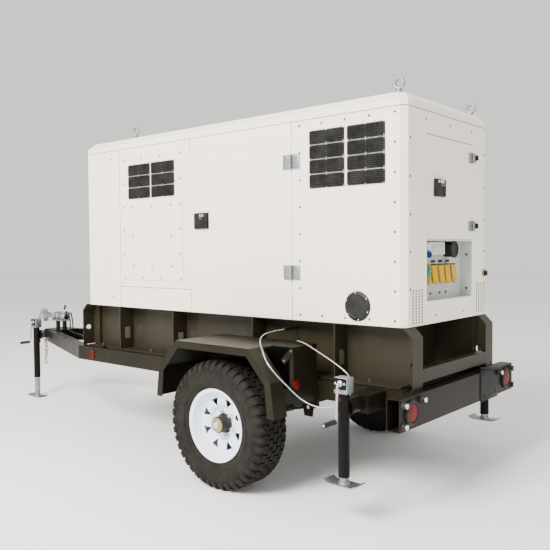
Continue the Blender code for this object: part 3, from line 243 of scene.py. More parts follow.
# %% Plated and bare metals
def plated(name, bright, dark, roughness, crystal, grain):
    """Metal with crystal patches, fine scratches and a little tarnish."""
    metal = Finish(name, Metallic=1.0)
    cells = metal.node("ShaderNodeTexVoronoi", {}, {"Vector": metal.place(), "Scale": crystal}, output=1)
    grey = metal.node("ShaderNodeRGBToBW", {}, {"Color": cells})
    stain = metal.mask(metal.noise(22.0, 4.0, 0.6), 0.42, 0.75)
    metal.give("Base Color", metal.blend(grey * 0.55 + stain * 0.35, bright, dark))
    metal.give("Roughness", roughness + grey * 0.16 + stain * 0.12)
    metal.bump(metal.noise(grain, 2.0, 0.5), 0.00012)
    return metal.material


galvanised = plated("galvanised", tone(0.36, 0.39, 0.42), tone(0.17, 0.19, 0.21), 0.38, 90.0, 420.0)
zinc_plate = plated("zinc_plate", tone(0.74, 0.74, 0.72), tone(0.52, 0.51, 0.47), 0.24, 260.0, 800.0)
brass_cap = plated("brass_cap", tone(0.50, 0.38, 0.20), tone(0.24, 0.18, 0.10), 0.34, 150.0, 600.0)
dark_steel = plated("dark_steel", tone(0.17, 0.165, 0.16), tone(0.07, 0.065, 0.06), 0.42, 120.0, 500.0)


# %% Rubber and plastics
def moulded(name, colour, faded, roughness, grain, depth):
    """Moulded plastic or rubber: fine grain, and lighter where it is dry or handled."""
    skin = Finish(name, IOR=1.46, Specular_IOR_Level=0.22)
    wear = skin.mask(skin.noise(14.0, 4.0, 0.6), 0.40, 0.75)
    skin.give("Base Color", skin.blend(wear, colour, faded))
    skin.give("Roughness", roughness + wear * 0.15)
    skin.bump(skin.noise(grain, 2.0, 0.6), depth)
    return skin.material


tyre_rubber = moulded("tyre_rubber", tone(0.006, 0.0054, 0.0046), tone(0.020, 0.0175, 0.014), 0.70, 320.0,
                      0.0004)
hose_rubber = moulded("hose_rubber", tone(0.012, 0.012, 0.013), tone(0.035, 0.035, 0.035), 0.42, 500.0,
                      0.0002)
black_plastic = moulded("black_plastic", tone(0.009, 0.009, 0.010), tone(0.026, 0.026, 0.026), 0.40, 900.0,
                        0.0001)
yellow_plastic = moulded("yellow_plastic", tone(0.60, 0.34, 0.002), tone(0.50, 0.27, 0.004), 0.32, 700.0,
                         0.0001)
blue_plastic = moulded("blue_plastic", tone(0.012, 0.045, 0.16), tone(0.02, 0.06, 0.15), 0.34, 700.0,
                       0.0001)
green_plastic = moulded("green_plastic", tone(0.02, 0.33, 0.16), tone(0.04, 0.26, 0.14), 0.34, 700.0,
                        0.0001)
pale_plastic = moulded("pale_plastic", tone(0.66, 0.67, 0.66), tone(0.52, 0.53, 0.52), 0.42, 700.0, 0.0001)
seam_shadow = moulded("seam_shadow", tone(0.045, 0.042, 0.038), tone(0.085, 0.08, 0.07), 0.80, 300.0,
                      0.0001)

# %% [markdown]
# A lamp's lens is clear red plastic with rows of small prisms on its inside. A fine wave
# in two directions as bump gives that sparkle without a mesh full of pimples.

# %% Lamp lens and wire rope
lens_finish = Finish("red_lens", IOR=1.49, Specular_IOR_Level=0.12)
across = lens_finish.node("ShaderNodeTexWave", {"bands_direction": "Y"},
                          {"Vector": lens_finish.place(), "Scale": 62.0})
along = lens_finish.node("ShaderNodeTexWave", {"bands_direction": "Z"},
                         {"Vector": lens_finish.place(), "Scale": 62.0})
prisms = across * along
lens_finish.give("Base Color",
                 lens_finish.blend(prisms, tone(0.10, 0.001, 0.001), tone(0.22, 0.003, 0.003)))
lens_finish.give("Roughness", 0.22 + prisms * 0.08)
lens_finish.bump(prisms, 0.0006)
red_lens = lens_finish.material

# Wire rope: the dark bands of a diagonal wave are painted shade in the grooves between strands; the same
# wave also sets roughness and bump.
rope_finish = Finish("rope_wire", Metallic=0.75)
strands_and_groove_shade = rope_finish.node("ShaderNodeTexWave", {"bands_direction": "DIAGONAL"},
                         {"Vector": rope_finish.place(), "Scale": 75.0, "Distortion": 0.6})
rope_finish.give("Base Color", rope_finish.blend(strands_and_groove_shade, tone(0.36, 0.36, 0.35), tone(0.86, 0.86, 0.84)))
rope_finish.give("Roughness", 0.30 + strands_and_groove_shade * 0.20)
rope_finish.bump(strands_and_groove_shade, 0.0010)
rope_wire = rope_finish.material

# Radiator core: bright fin stripes with dark bands of painted shade in the gaps between fins; the bands
# also set roughness and bump.
fins_finish = Finish("radiator_fins", Metallic=1.0)
fins_and_gap_shade = fins_finish.node("ShaderNodeTexWave", {"bands_direction": "Z"},
                        {"Vector": fins_finish.place(), "Scale": 90.0})
fins_finish.give("Base Color", fins_finish.blend(fins_and_gap_shade, tone(0.10, 0.10, 0.10), tone(0.66, 0.67, 0.68)))
fins_finish.give("Roughness", 0.35 + fins_and_gap_shade * 0.15)
fins_finish.bump(fins_and_gap_shade, 0.0012)
radiator_fins = fins_finish.material
print(len(bpy.data.materials), "materials in the file")

# %% [markdown]
# ## Modelling helpers
#
# Every piece starts as a primitive at its size and place, and is then shaped in edit mode.
# A finished piece keeps its place in its mesh: its object sits at the origin, unturned.

# %% Start, settle and finish a piece
def alone(piece):
    """Only this piece selected, and active."""
    bpy.ops.object.select_all(action="DESELECT")
    piece.select_set(True)
    bpy.context.view_layer.objects.active = piece
    return piece


def settle(piece):
    """Move the object's place into its mesh."""
    alone(piece)
    bpy.ops.object.transform_apply(location=True, rotation=True, scale=True)
    return piece


def in_edit(piece, chosen, action):
    """Select faces or edges by a test on them, then run one edit-mode step."""
    alone(piece)
    bpy.ops.object.mode_set(mode="EDIT")
    bpy.ops.mesh.select_mode(type="EDGE" if chosen[0] == "edge" else "FACE")
    bpy.ops.mesh.select_all(action="DESELECT")
    mesh = bmesh.from_edit_mesh(piece.data)
    for item in (mesh.edges if chosen[0] == "edge" else mesh.faces):
        if chosen[1](item):
            item.select_set(True)
    bmesh.update_edit_mesh(piece.data)
    action()
    bpy.ops.object.mode_set(mode="OBJECT")
    return piece


def block(name, low, high, edge=0.001, steps=1):
    """Rectangular piece between two corners with its edges eased."""
    centre = [(a + b) / 2 for a, b in zip(low, high)]
    bpy.ops.object.select_all(action="DESELECT")
    bpy.ops.mesh.primitive_cube_add(size=1.0, location=centre)
    piece = bpy.context.object
    piece.name = name
    piece.scale = [abs(b - a) for a, b in zip(low, high)]
    settle(piece)
    if edge:
        in_edit(piece, ("edge", lambda e: True), lambda: bpy.ops.mesh.bevel(offset=edge, segments=steps))
    return piece


TURNS = {"X": (0, math.pi / 2, 0), "Y": (-math.pi / 2, 0, 0), "Z": (0, 0, 0)}


def disc(name, centre, radius, length, axis, edge=0.001, sides=32):
    """Round piece about an axis, with eased rims."""
    bpy.ops.object.select_all(action="DESELECT")
    bpy.ops.mesh.primitive_cone_add(vertices=sides, radius1=radius, radius2=radius, depth=length,
                                    location=centre, rotation=TURNS[axis])
    piece = bpy.context.object
    piece.name = name
    settle(piece)
    if edge:
        way = Vector((axis == "X", axis == "Y", axis == "Z"))

        def on_rim(e):
            return any(len(f.verts) > 4 and abs(f.normal.dot(way)) > 0.9 for f in e.link_faces)

        in_edit(piece, ("edge", on_rim), lambda: bpy.ops.mesh.bevel(offset=edge, segments=1))
    return piece


def sketch(name, points, closed):
    """Mesh of a drawn line, ready for extrude or spin."""
    count = len(points)
    edges = [(i, (i + 1) % count) for i in range(count if closed else count - 1)]
    mesh = bpy.data.meshes.new(name)
    mesh.from_pydata([tuple(p) for p in points], edges, [])
    piece = bpy.data.objects.new(name, mesh)
    bpy.context.scene.collection.objects.link(piece)
    return piece


def spun(name, centre, profile, axis="Y", steps=64, closed=True):
    """Profile of (radius, place along the axis) spun once round the axis."""
    lines = {"Y": lambda r, a: (centre[0] + r, a, centre[2]),
             "X": lambda r, a: (a, centre[1] + r, centre[2]),
             "Z": lambda r, a: (centre[0] + r, centre[1], a)}
    piece = sketch(name, [lines[axis](r, a) for r, a in profile], closed)
    way = (axis == "X", axis == "Y", axis == "Z")

    def turn_round():
        bpy.ops.mesh.select_all(action="SELECT")
        bpy.ops.mesh.spin(steps=steps, angle=2 * math.pi, center=centre, axis=way)
        bpy.ops.mesh.select_all(action="SELECT")
        bpy.ops.mesh.remove_doubles(threshold=0.00002)
        bpy.ops.mesh.normals_make_consistent(inside=False)

    return in_edit(piece, ("edge", lambda e: True), turn_round)


def pressed(name, outline, low, high, across="Y", edge=0.0):
    """Flat outline extruded between two planes; the outline is (x, z), (x, y) or (y, z)."""
    put = {"Y": lambda a, b: (a, low, b), "Z": lambda a, b: (a, b, low), "X": lambda a,
           b: (low, a, b)}[across]
    piece = sketch(name, [put(a, b) for a, b in outline], True)
    move = tuple((high - low) * (across == axis) for axis in "XYZ")

    def thicken():
        bpy.ops.mesh.select_all(action="SELECT")
        bpy.ops.mesh.edge_face_add()
        bpy.ops.mesh.extrude_region_move(TRANSFORM_OT_translate={"value": move})
        bpy.ops.mesh.select_all(action="SELECT")
        bpy.ops.mesh.normals_make_consistent(inside=False)

    in_edit(piece, ("edge", lambda e: True), thicken)
    if edge:
        in_edit(piece, ("edge", lambda e: e.calc_face_angle(0) > 0.5),
                lambda: bpy.ops.mesh.bevel(offset=edge, segments=2))
    return piece


def pipe(name, points, radius, sides=3, closed=False, bent=False):
    """Round bar along points; a curve with a bevel, turned into a mesh."""
    line = bpy.data.curves.new(name, "CURVE")
    line.dimensions = "3D"
    line.bevel_depth = radius
    line.bevel_resolution = sides
    line.use_fill_caps = not closed
    line.resolution_u = 6
    run = line.splines.new("NURBS" if bent else "POLY")
    run.points.add(len(points) - 1)
    for knot, place in zip(run.points, points):
        knot.co = (*place, 1.0)
    run.use_cyclic_u = closed
    if bent:
        run.order_u = 3
        run.use_endpoint_u = not closed
    piece = bpy.data.objects.new(name, line)
    bpy.context.scene.collection.objects.link(piece)
    alone(piece)
    bpy.ops.object.convert(target="MESH")
    return bpy.context.object


def joined(name, pieces):
    """Several meshes as one object."""
    bpy.ops.object.select_all(action="DESELECT")
    for piece in pieces:
        piece.select_set(True)
    bpy.context.view_layer.objects.active = pieces[0]
    if len(pieces) > 1:
        bpy.ops.object.join()
    pieces[0].name = name
    return pieces[0]


def copied(piece, matrix):
    """A copy with its own mesh, moved by a matrix."""
    twin = piece.copy()
    twin.data = piece.data.copy()
    bpy.context.scene.collection.objects.link(twin)
    twin.data.transform(matrix)
    if matrix.to_3x3().determinant() < 0:
        in_edit(twin, ("face", lambda f: True), lambda: bpy.ops.mesh.flip_normals())
    return twin


def repeated(name, piece, matrices):
    """Copies of the piece, one for each matrix, joined as one; the piece itself goes."""
    twins = [copied(piece, m) for m in matrices]
    bpy.data.objects.remove(piece)
    return joined(name, twins)


MIRROR = Matrix.Diagonal((1, -1, 1, 1))


def shift(x=0.0, y=0.0, z=0.0):
    return Matrix.Translation((x, y, z))


def round_axis(centre, axis, count, start=0.0):
    """Matrices that place a piece evenly round an axis through a point."""
    there = Matrix.Translation(centre)
    back = Matrix.Translation([-v for v in centre])
    return [there @ Matrix.Rotation(start + 2 * math.pi * i / count, 4, axis) @ back for i in range(count)]


def carved(piece, cutter):
    """Boolean difference, applied; the cutter goes."""
    alone(piece)
    step = piece.modifiers.new("carve", "BOOLEAN")
    step.object = cutter
    step.solver = "EXACT"
    bpy.ops.object.modifier_apply(modifier=step.name)
    bpy.data.objects.remove(cutter)
    return piece


def done(piece, finish, body, slot=None, stands_for=(), angle=35):
    """Settle, smooth by angle, paint, and ride on a body."""
    settle(piece)
    bpy.ops.object.shade_smooth_by_angle(angle=math.radians(angle))
    piece.data.materials.clear()
    piece.data.materials.append(finish)
    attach(piece, body)
    if stands_for:
        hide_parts(*stands_for)
    return piece


def pair(piece, name, finish, bodies, slot=None, stands_for=((), ())):
    """The left piece and its mirror on the right, each on its own body."""
    settle(piece)
    twin = copied(piece, MIRROR)
    piece.name = name + "_left"
    twin.name = name + "_right"
    done(piece, finish, bodies[0], slot, stands_for[0])
    done(twin, finish, bodies[1], slot, stands_for[1])


BOTH = ("chassis", "chassis")
print("helpers ready")

# %% [markdown]
# ## Wire rope first
#
# A thin galvanised rope ties the mudguard's step to the base frame. It hangs in a loop
# behind the left jack and lies over its own end. It is a real length of rope, laid on the
# same route as its CAD solid.

# %% Tie rope
ROPE_ROUTE = (
    (-0.697, -0.604, 0.8830), (-0.640, -0.655, 0.8900), (-0.560, -0.700, 0.8880),
    (-0.402, -0.770, 0.8560), (-0.272, -0.812, 0.8180), (-0.180, -0.832, 0.7760),
    (-0.143, -0.834, 0.7200), (-0.160, -0.834, 0.6640), (-0.200, -0.834, 0.6270),
    (-0.250, -0.834, 0.5960), (-0.322, -0.836, 0.5740), (-0.397, -0.840, 0.5750),
    (-0.461, -0.855, 0.5990), (-0.501, -0.880, 0.6380), (-0.536, -0.910, 0.6850),
    (-0.577, -0.930, 0.7290), (-0.613, -0.940, 0.7680), (-0.652, -0.940, 0.8100),
    (-0.690, -0.926, 0.8590), (-0.745, -0.884, 0.8970), (-0.812, -0.800, 0.9140),
    (-0.862, -0.700, 0.9240), (-0.884, -0.600, 0.9260), (-0.862, -0.5285, 0.9350))


def smooth_route(route, step):
    """Points on the smooth curve through a route's own points."""
    ends = [route[0]] + list(route) + [route[-1]]
    line = [Vector(route[0])]
    for p0, p1, p2, p3 in zip(ends, ends[1:], ends[2:], ends[3:]):
        p0, p1, p2, p3 = (Vector(p) for p in (p0, p1, p2, p3))
        count = max(2, round((p2 - p1).length / step))
        for i in range(1, count + 1):
            t = i / count
            line.append(0.5 * (2 * p1 + (p2 - p0) * t + (2 * p0 - 5 * p1 + 4 * p2 - p3) * t * t
                               + (3 * p1 - p0 - 3 * p2 + p3) * t * t * t))
    return line


rope_line = smooth_route([(REAR + x, y, z) for x, y, z in ROPE_ROUTE], 0.012)
rope_length = sum((b - a).length for a, b in zip(rope_line, rope_line[1:]))
rope = done(pipe("tie_rope", rope_line, 0.00325, 3), rope_wire, "chassis", "wire_rope", ["tie_cable"], 60)
ferrules = [disc("ferrule", rope_line[i], 0.0058, 0.020, "X", 0.001, 12) for i in (5, -6)]
for ferrule, i in zip(ferrules, (5, -6)):
    aim = (rope_line[i + 1] - rope_line[i - 1]).to_track_quat("X", "Z").to_matrix().to_4x4()
    ferrule.data.transform(shift(*rope_line[i]) @ aim @ shift(*(-rope_line[i])))
done(joined("rope_ferrules", ferrules), galvanised, "chassis", "zinc")
print("rope", round(rope_length, 3), "m long")

# %% [markdown]
# ## Sheet metal that keeps its CAD shape
#
# Canopy, base frame and rails are folded sheet: their CAD solids already have the right
# folds, so they only get their paint. Every node is named once in a table.

# %% Paint the CAD nodes that stay
KEPT = {
    canopy_paint: ("canopy_wall_left", "canopy_wall_right", "canopy_front_wall", "canopy_rear_wall",
                   "canopy_roof", "side_door_left", "side_door_right", "control_door",
                   "service_panel_left", "service_panel_right"),
    chassis_paint: ("left_rail", "right_rail", "front_cross_member", "rear_outrigger", "bumper_beam",
                    "drawbar_nose", "fender_left", "fender_right", "axle_beam", "engine_bed"),
    base_paint: ("base_left", "base_right", "base_rear_channel", "fuel_tank"),
    tray_paint: ("socket_panel",),
    engine_paint: ("engine_block", "alternator"),
    galvanised: ("coupler_housing", "coupler_head", "muffler"),
    radiator_fins: ("radiator",),
    black_plastic: ("battery", "cooling_fan", "control_unit"),
    dark_steel: ("leaf_spring_left", "leaf_spring_right")}
for finish, names in KEPT.items():
    for name in names:
        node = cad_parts[name]
        node.data.materials.clear()
        node.data.materials.append(finish)
print(sum(len(names) for names in KEPT.values()), "CAD nodes painted")

# %% [markdown]
# ## Tyres
#
# An all-terrain tyre has a carcass of revolution, five staggered rows of tread blocks and
# lugs that wrap over its shoulders. The carcass is one profile spun round the axle. One
# block of each row is modelled and copied round; the same is done with the shoulder lug.

# %% Carcass
tyre_low, tyre_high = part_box("tyre_left")
AXLE = Vector(((tyre_low[0] + tyre_high[0]) / 2, 0.0, (tyre_low[2] + tyre_high[2]) / 2))
carcass_line = [
    (0.2046, 0.780), (0.225, 0.752), (0.262, 0.744), (0.300, 0.7402), (0.325, 0.7405), (0.350, 0.747),
    (0.366, 0.757), (0.3755, 0.777), (0.3770, 0.800), (0.3770, 0.925), (0.3755, 0.948), (0.366, 0.968),
    (0.350, 0.978), (0.333, 0.9835), (0.331, 0.9850), (0.326, 0.9852), (0.324, 0.9838), (0.300, 0.9850),
    (0.268, 0.9815), (0.266, 0.9835), (0.258, 0.9830), (0.256, 0.9790), (0.240, 0.972), (0.2275, 0.964),
    (0.2215, 0.966), (0.2046, 0.955), (0.2046, 0.940), (0.240, 0.950), (0.300, 0.965), (0.350, 0.955),
    (0.360, 0.920), (0.360, 0.810), (0.350, 0.770), (0.300, 0.760), (0.240, 0.775), (0.2046, 0.792)]
tyre = spun("tyre", AXLE, [(r, -a) for r, a in carcass_line], "Y", 96)
print("tyre", round(tyre_high[2] - tyre_low[2], 3), "m across")

# %% Tread
PITCHES, TREAD_RADIUS = 42, 0.3805
rows = [tyre]
for row, (y, slant, size) in enumerate(((-0.789, 16, 0.035), (-0.826, -20, 0.031), (-0.8625, 0, 0.030),
                                        (-0.899, 20, 0.031), (-0.936, -16, 0.035))):
    z = AXLE.z + TREAD_RADIUS
    cube = block("tread", (AXLE.x - 0.0215, y - size / 2, z - 0.006),
                 (AXLE.x + 0.0215, y + size / 2, z + 0.006), 0)
    in_edit(cube, ("face", lambda f: f.normal.z > 0.9),
            lambda: bpy.ops.mesh.inset(thickness=0.0024, depth=0.0))
    in_edit(cube, ("face", lambda f: f.normal.z > 0.9 and f.calc_area() < 0.0012),
            lambda: bpy.ops.transform.translate(value=(0, 0, 0.0004)))
    sipe = block("sipe", (AXLE.x - 0.03, y - 0.0009, z - 0.001), (AXLE.x + 0.03, y + 0.0009, z + 0.02), 0)
    sipe.data.transform(shift(AXLE.x, y) @ Matrix.Rotation(math.radians(58), 4, "Z") @ shift(-AXLE.x, -y))
    cube = carved(cube, sipe)
    cube.data.transform(shift(AXLE.x, y) @ Matrix.Rotation(math.radians(slant), 4,
                                                           "Z") @ shift(-AXLE.x, -y))
    spin_by = math.pi / PITCHES * (row % 2)
    rows.append(repeated("tread_row", cube, round_axis(AXLE, "Y", PITCHES, spin_by)))
lug_line = [(-0.9535, 0.372), (-0.9535, 0.3855), (-0.962, 0.3825), (-0.974, 0.3735), (-0.982, 0.356),
            (-0.9868, 0.336), (-0.979, 0.334), (-0.968, 0.356)]
lug = pressed("lug", [(y, AXLE.z + r) for y, r in lug_line], AXLE.x - 0.017, AXLE.x + 0.017, "X", 0.0012)
inner_lug = copied(lug, shift(0, -0.8625) @ MIRROR @ shift(0, 0.8625))
for piece, start in ((lug, 0.0), (inner_lug, math.pi / PITCHES)):
    rows.append(repeated("lugs", piece, round_axis(AXLE, "Y", PITCHES, start)))
knob = block("knob", (AXLE.x - 0.011, -0.9868, AXLE.z + 0.306), (AXLE.x + 0.011, -0.980, AXLE.z + 0.322),
             0.0015)
rows.append(repeated("knobs", knob, round_axis(AXLE, "Y", PITCHES, math.pi / PITCHES)))
tyre = joined("tyre_all_terrain", rows)
WHEELS = ("wheel_left", "wheel_right")
pair(tyre, "tyre_all_terrain", tyre_rubber, WHEELS, "tyre", (("tyre_left",), ("tyre_right",)))
print("tread with", PITCHES, "pitches and", len(tyre.data.polygons), "faces")

# %% [markdown]
# ## Rims and hubs
#
# A spoked steel rim is a rolled barrel with a pressed disc welded in. Eight three-cornered
# windows leave eight spokes. The disc is spun together with the barrel and the windows are
# cut by one cutter copied round. Six cone nuts hold it, and a pressed cap closes the hub.

# %% Rim
rim_line = [
    (0.050, 0.877), (0.098, 0.876), (0.106, 0.884), (0.116, 0.899), (0.128, 0.903), (0.158, 0.903),
    (0.172, 0.890), (0.179, 0.860), (0.184, 0.768), (0.218, 0.758), (0.218, 0.762), (0.204, 0.776),
    (0.188, 0.784), (0.187, 0.905), (0.204, 0.918), (0.2043, 0.952), (0.212, 0.960), (0.2205, 0.9655),
    (0.2205, 0.9700), (0.215, 0.9705), (0.199, 0.963), (0.194, 0.946), (0.183, 0.930), (0.176, 0.918),
    (0.170, 0.911), (0.158, 0.909), (0.128, 0.909), (0.112, 0.904), (0.101, 0.890), (0.096, 0.8825),
    (0.050, 0.8828)]
rim = spun("rim", AXLE, [(r, -a) for r, a in rim_line], "Y", 96)
in_edit(rim, ("face", lambda f: True), lambda: bpy.ops.mesh.normals_make_consistent(inside=False))
window = pressed("window", [(AXLE.x, AXLE.z + 0.103), (AXLE.x + 0.030, AXLE.z + 0.158),
                            (AXLE.x - 0.030, AXLE.z + 0.158)], -0.95, -0.86, "Y")
in_edit(window, ("edge", lambda e: abs(e.verts[0].co.y - e.verts[1].co.y) > 0.05),
        lambda: bpy.ops.mesh.bevel(offset=0.006, segments=4))
windows = repeated("windows", window, round_axis(AXLE, "Y", 8, math.pi / 8))
rim = carved(rim, windows)
pair(rim, "rim_spoked", rim_paint, WHEELS, "rim_paint", (("rim_left",), ("rim_right",)))
print("rim faces", len(rim.data.polygons))

# %% Hub, nuts and cap
# The drum reaches r 0.160, wider than the hub, so its dark steel fills the rim's windows: partly the real
# drum, partly painted shade behind the spokes.
drum = spun("drum", AXLE, [(0.0224, -0.815), (0.0224, -0.746), (0.156, -0.746), (0.160, -0.750),
                           (0.160, -0.862), (0.152, -0.870), (0.104, -0.8762), (0.0224, -0.8762)], "Y", 64)
pair(drum, "hub_drum_and_window_shade", dark_steel, WHEELS, "hub_steel", (("hub_left",), ("hub_right",)))
cup = spun("cup", AXLE,
           [(0.0, -0.877), (0.060, -0.884), (0.0605, -0.889), (0.052, -0.894), (0.0475, -0.902),
                         (0.0465, -0.937), (0.0495, -0.939), (0.0495, -0.944), (0.0, -0.944)], "Y", 48,
           False)
pair(cup, "hub_cup", black_plastic, WHEELS, "black_plastic")
cap = spun("cap", AXLE,
           [(0.0, -0.943), (0.043, -0.943), (0.0435, -0.952), (0.040, -0.957), (0.028, -0.9585),
                         (0.026, -0.9605), (0.012, -0.9615), (0.0, -0.9615)], "Y", 48, False)
pair(cap, "hub_cap", brass_cap, WHEELS, "hub_steel")
cap_centre = disc("cap_centre", (AXLE.x, -0.9625, AXLE.z), 0.0195, 0.004, "Y", 0.0012, 32)
pair(cap_centre, "hub_cap_centre", zinc_plate, WHEELS, "hub_steel")
nut = disc("nut", (AXLE.x + 0.077, -0.893, AXLE.z), 0.0125, 0.021, "Y", 0.0015, 6)
stud = disc("stud", (AXLE.x + 0.077, -0.906, AXLE.z), 0.0065, 0.012, "Y", 0.001, 14)
nuts = repeated("nuts", joined("nut", [nut, stud]), round_axis(AXLE, "Y", 6, 0.3))
pair(nuts, "wheel_nuts", zinc_plate, WHEELS, "hub_steel")
print("hub done")

# %% [markdown]
# ## Louvred vents
#
# Each vent is a moulded black frame with slats that lean outwards, so that rain runs off.
# One vent is modelled: a frame inset into a plate, and a leaning slat repeated. Then it is
# copied into two banks on each side; the bank on the service panel sits a little further out.

# %% One vent and its copies
VENT_W, VENT_H = 0.252, 0.0815
vent = block("vent", (-VENT_W / 2, -0.0055, -VENT_H / 2), (VENT_W / 2, 0, VENT_H / 2), 0)
in_edit(vent, ("face", lambda f: f.normal.y < -0.9), lambda: bpy.ops.mesh.inset(thickness=0.008, depth=0.0))
in_edit(vent, ("face", lambda f: f.normal.y < -0.9 and f.calc_area() > 0.010),
        lambda: bpy.ops.mesh.extrude_region_move(TRANSFORM_OT_translate={"value": (0, 0.0045, 0)}))
slat = block("slat", (-VENT_W / 2 + 0.007, -0.0052, -0.0048), (VENT_W / 2 - 0.007, -0.0012, 0.0048), 0.0004)
slat.data.transform(Matrix.Rotation(math.radians(-32), 4, "X"))
slats = repeated("slats", slat, [shift(0, 0, -0.0275 + 0.011 * i) for i in range(6)])
bars = repeated("bars", block("bar", (-0.003, -0.0062, -0.034), (0.003, -0.002, 0.034), 0.0006),
                [shift(x) for x in (-0.062, 0, 0.062)])
vent = joined("vent", [vent, slats, bars])
vent_places = []
for xs, zs in (((-2.251, -1.9825), (1.8665, 1.953, 2.0395)),
               ((-0.522, -0.2505), (1.8385, 1.9253, 2.0120, 2.0987))):
    vent_places += [shift(REAR + x, -FACE - 0.0003, z) for x in xs for z in zs]
panel_out = shift(0, -0.0065)
vents = repeated("vents", vent, [(panel_out if m.translation.x < REAR - 1.5 else shift()) @ m
                                 for m in vent_places])
pair(vents, "louvre_vents", black_plastic, BOTH, "black_plastic")
print(len(vent_places), "vents on each side")

# %% [markdown]
# ## Seams, screws and the round cap
#
# Neighbouring wall sheets meet in narrow seams, drawn as thin dark strips of painted shade. Panel screws
# are small button heads on a washer. We model one screw, spun from its profile, and place it by a list.

# %% Seams on the sides, the ends and the roof
def seam(a, b, face_axis, place):
    """Thin dark strip of painted shade on a face between two corners of that face."""
    low, high = list(a), list(b)
    low.insert(face_axis, place - 0.0004)
    high.insert(face_axis, place + 0.0004)
    return block("seam", low, high, 0.00015)


strips = [seam((REAR - 2.5001, 1.003), (REAR - 2.4959, 2.209), 1, -FACE),
          seam((REAR - 1.6991, 1.003), (REAR - 1.6949, 1.157), 1, -FACE),
          seam((REAR - 1.7021, 2.113), (REAR - 1.6979, 2.209), 1, -FACE),
          seam((REAR - 0.7901, 1.003), (REAR - 0.7859, 1.157), 1, -FACE),
          seam((REAR - 0.7901, 2.113), (REAR - 0.7859, 2.209), 1, -FACE),
          seam((REAR - 2.4965, 1.1559), (REAR - 1.703, 1.1601), 1, -FACE)]
pair(joined("seams", strips), "wall_seam_shade", seam_shadow, BOTH, "canopy_paint")
front_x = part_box("canopy_front_wall")[0][0]
corner = 0.0315
ring = [(front_x, -FACE + corner), (front_x + corner, -FACE), (REAR - corner, -FACE),
        (REAR, -FACE + corner),
        (REAR, FACE - corner), (REAR - corner, FACE), (front_x + corner, FACE), (front_x, FACE - corner)]
lip = pressed("roof_gasket", ring, 2.2100, 2.2135, "Z")
in_edit(lip, ("face", lambda f: abs(f.normal.z) < 0.5),
        lambda: bpy.ops.transform.resize(value=(1.0004, 1.0012, 1)))
done(lip, seam_shadow, "chassis", "canopy_paint")
print("seams laid")


# %% Screws
def screw(radius, height):
    """Button head on a washer at the origin, pointing to -Y."""
    return spun("screw", (0, 0, 0), [(0, 0.0004), (radius, 0.0004), (radius, -height * 0.25),
                                     (radius * 0.72, -height * 0.3), (radius * 0.66, -height * 0.75),
                                     (radius * 0.4, -height), (0, -height)], "Y", 12, False)


def ring_of(x0, x1, z0, z1, nx, nz):
    """Places evenly round a rectangle."""
    xs = [x0 + (x1 - x0) * i / nx for i in range(nx + 1)]
    zs = [z0 + (z1 - z0) * i / nz for i in range(1, nz)]
    return [(x, z) for x in xs for z in (z0, z1)] + [(x, z) for x in (x0, x1) for z in zs]


panel_screws = ring_of(-2.437, -1.798, 1.230, 2.122, 3, 5) + ring_of(-2.33, -1.90, 1.32, 1.76, 2, 2)
wall_screws = ring_of(-0.725, -0.065, 1.035, 2.180, 4, 7) + [(-2.60, z) for z in (1.07, 2.15)]
vent_screws = []
for m in vent_places:
    vent_screws += [(m.translation.x - REAR + dx, m.translation.z + dz)
                    for dx in (-0.121, 0, 0.121) for dz in (-0.0368, 0.0368)]
heads = [shift(REAR + x, -FACE - 0.0068, z) for x, z in panel_screws]
heads += [shift(REAR + x, -FACE - 0.0003, z) for x, z in wall_screws]
pair(repeated("heads", screw(0.0075, 0.0044), heads), "panel_screws", dark_steel, BOTH, "zinc")
heads = [shift(REAR + x, -FACE - (0.0120 if x < -1.5 else 0.0056), z) for x, z in vent_screws]
pair(repeated("heads", screw(0.0030, 0.0016), heads), "vent_screws", zinc_plate, BOTH, "zinc")
rear_turn = Matrix.Rotation(math.radians(90), 4, "Z")
rear_places = [(y, z) for y in (-0.478, 0.490) for z in (1.208, 1.416, 1.62, 1.83, 2.04)]
rear_places += [(y, 2.165) for y in (-0.30, 0.0, 0.30)] + [(y, 1.045) for y in (-0.18, 0.18)]
heads = [shift(REAR + 0.0003, y, z) @ rear_turn for y, z in rear_places]
done(repeated("rear_screws", screw(0.0068, 0.0038), heads), dark_steel, "chassis", "zinc")
print(len(panel_screws) + len(wall_screws), "panel screws a side")

# %% Round cap over the side opening
CAP = (REAR - 0.309, -FACE, 1.106)
cover = spun("cover", CAP, [(0.0, -FACE - 0.0135), (0.052, -FACE - 0.0130), (0.058, -FACE - 0.0105),
                            (0.062, -FACE - 0.0105), (0.066, -FACE - 0.0125), (0.074, -FACE - 0.0110),
                            (0.085, -FACE - 0.0055), (0.087, -FACE + 0.001), (0.0, -FACE + 0.001)], "Y", 64,
             False)
cap_screws = repeated("cap_screws", screw(0.0050, 0.0030),
                      [m @ shift(CAP[0] + 0.0775, -FACE - 0.0095, CAP[2])
                       for m in round_axis(CAP, "Y", 6, 0.4)])
pair(cover, "round_cap", black_plastic, BOTH, "black_plastic")
pair(cap_screws, "cap_screws", zinc_plate, BOTH, "zinc")
print("cap r 87 mm")

# %% [markdown]
# ## Side doors: hinges and paddle latches
#
# A bolt-on hinge has two leaves, one on the door and one on the wall, round one pin. The
# wall leaf stays with the canopy, and the door leaf and pin turn with the door. The lock
# is a black paddle in a bezel, with a keyed barrel. The paddle has its own small joint.

# %% Hinges
PIN = (REAR - 0.792, -FACE - 0.012)


def hinge(x_pin, z, half, reach, way):
    """One leaf of a hinge with two bolts; way is -1 towards -X, +1 towards +X."""
    x_far = x_pin + way * reach
    plate = block("leaf", (min(x_pin, x_far), -FACE - 0.0092, z - half),
                  (max(x_pin, x_far), -FACE - 0.0004, z + half), 0.0016, 2)
    bolts = [shift(x_pin + way * reach * 0.62, -FACE - 0.0092, z + dz)
             for dz in (-half * 0.55, half * 0.55)]
    return joined("leaf", [plate, repeated("bolts", screw(0.0085, 0.0062), bolts)])


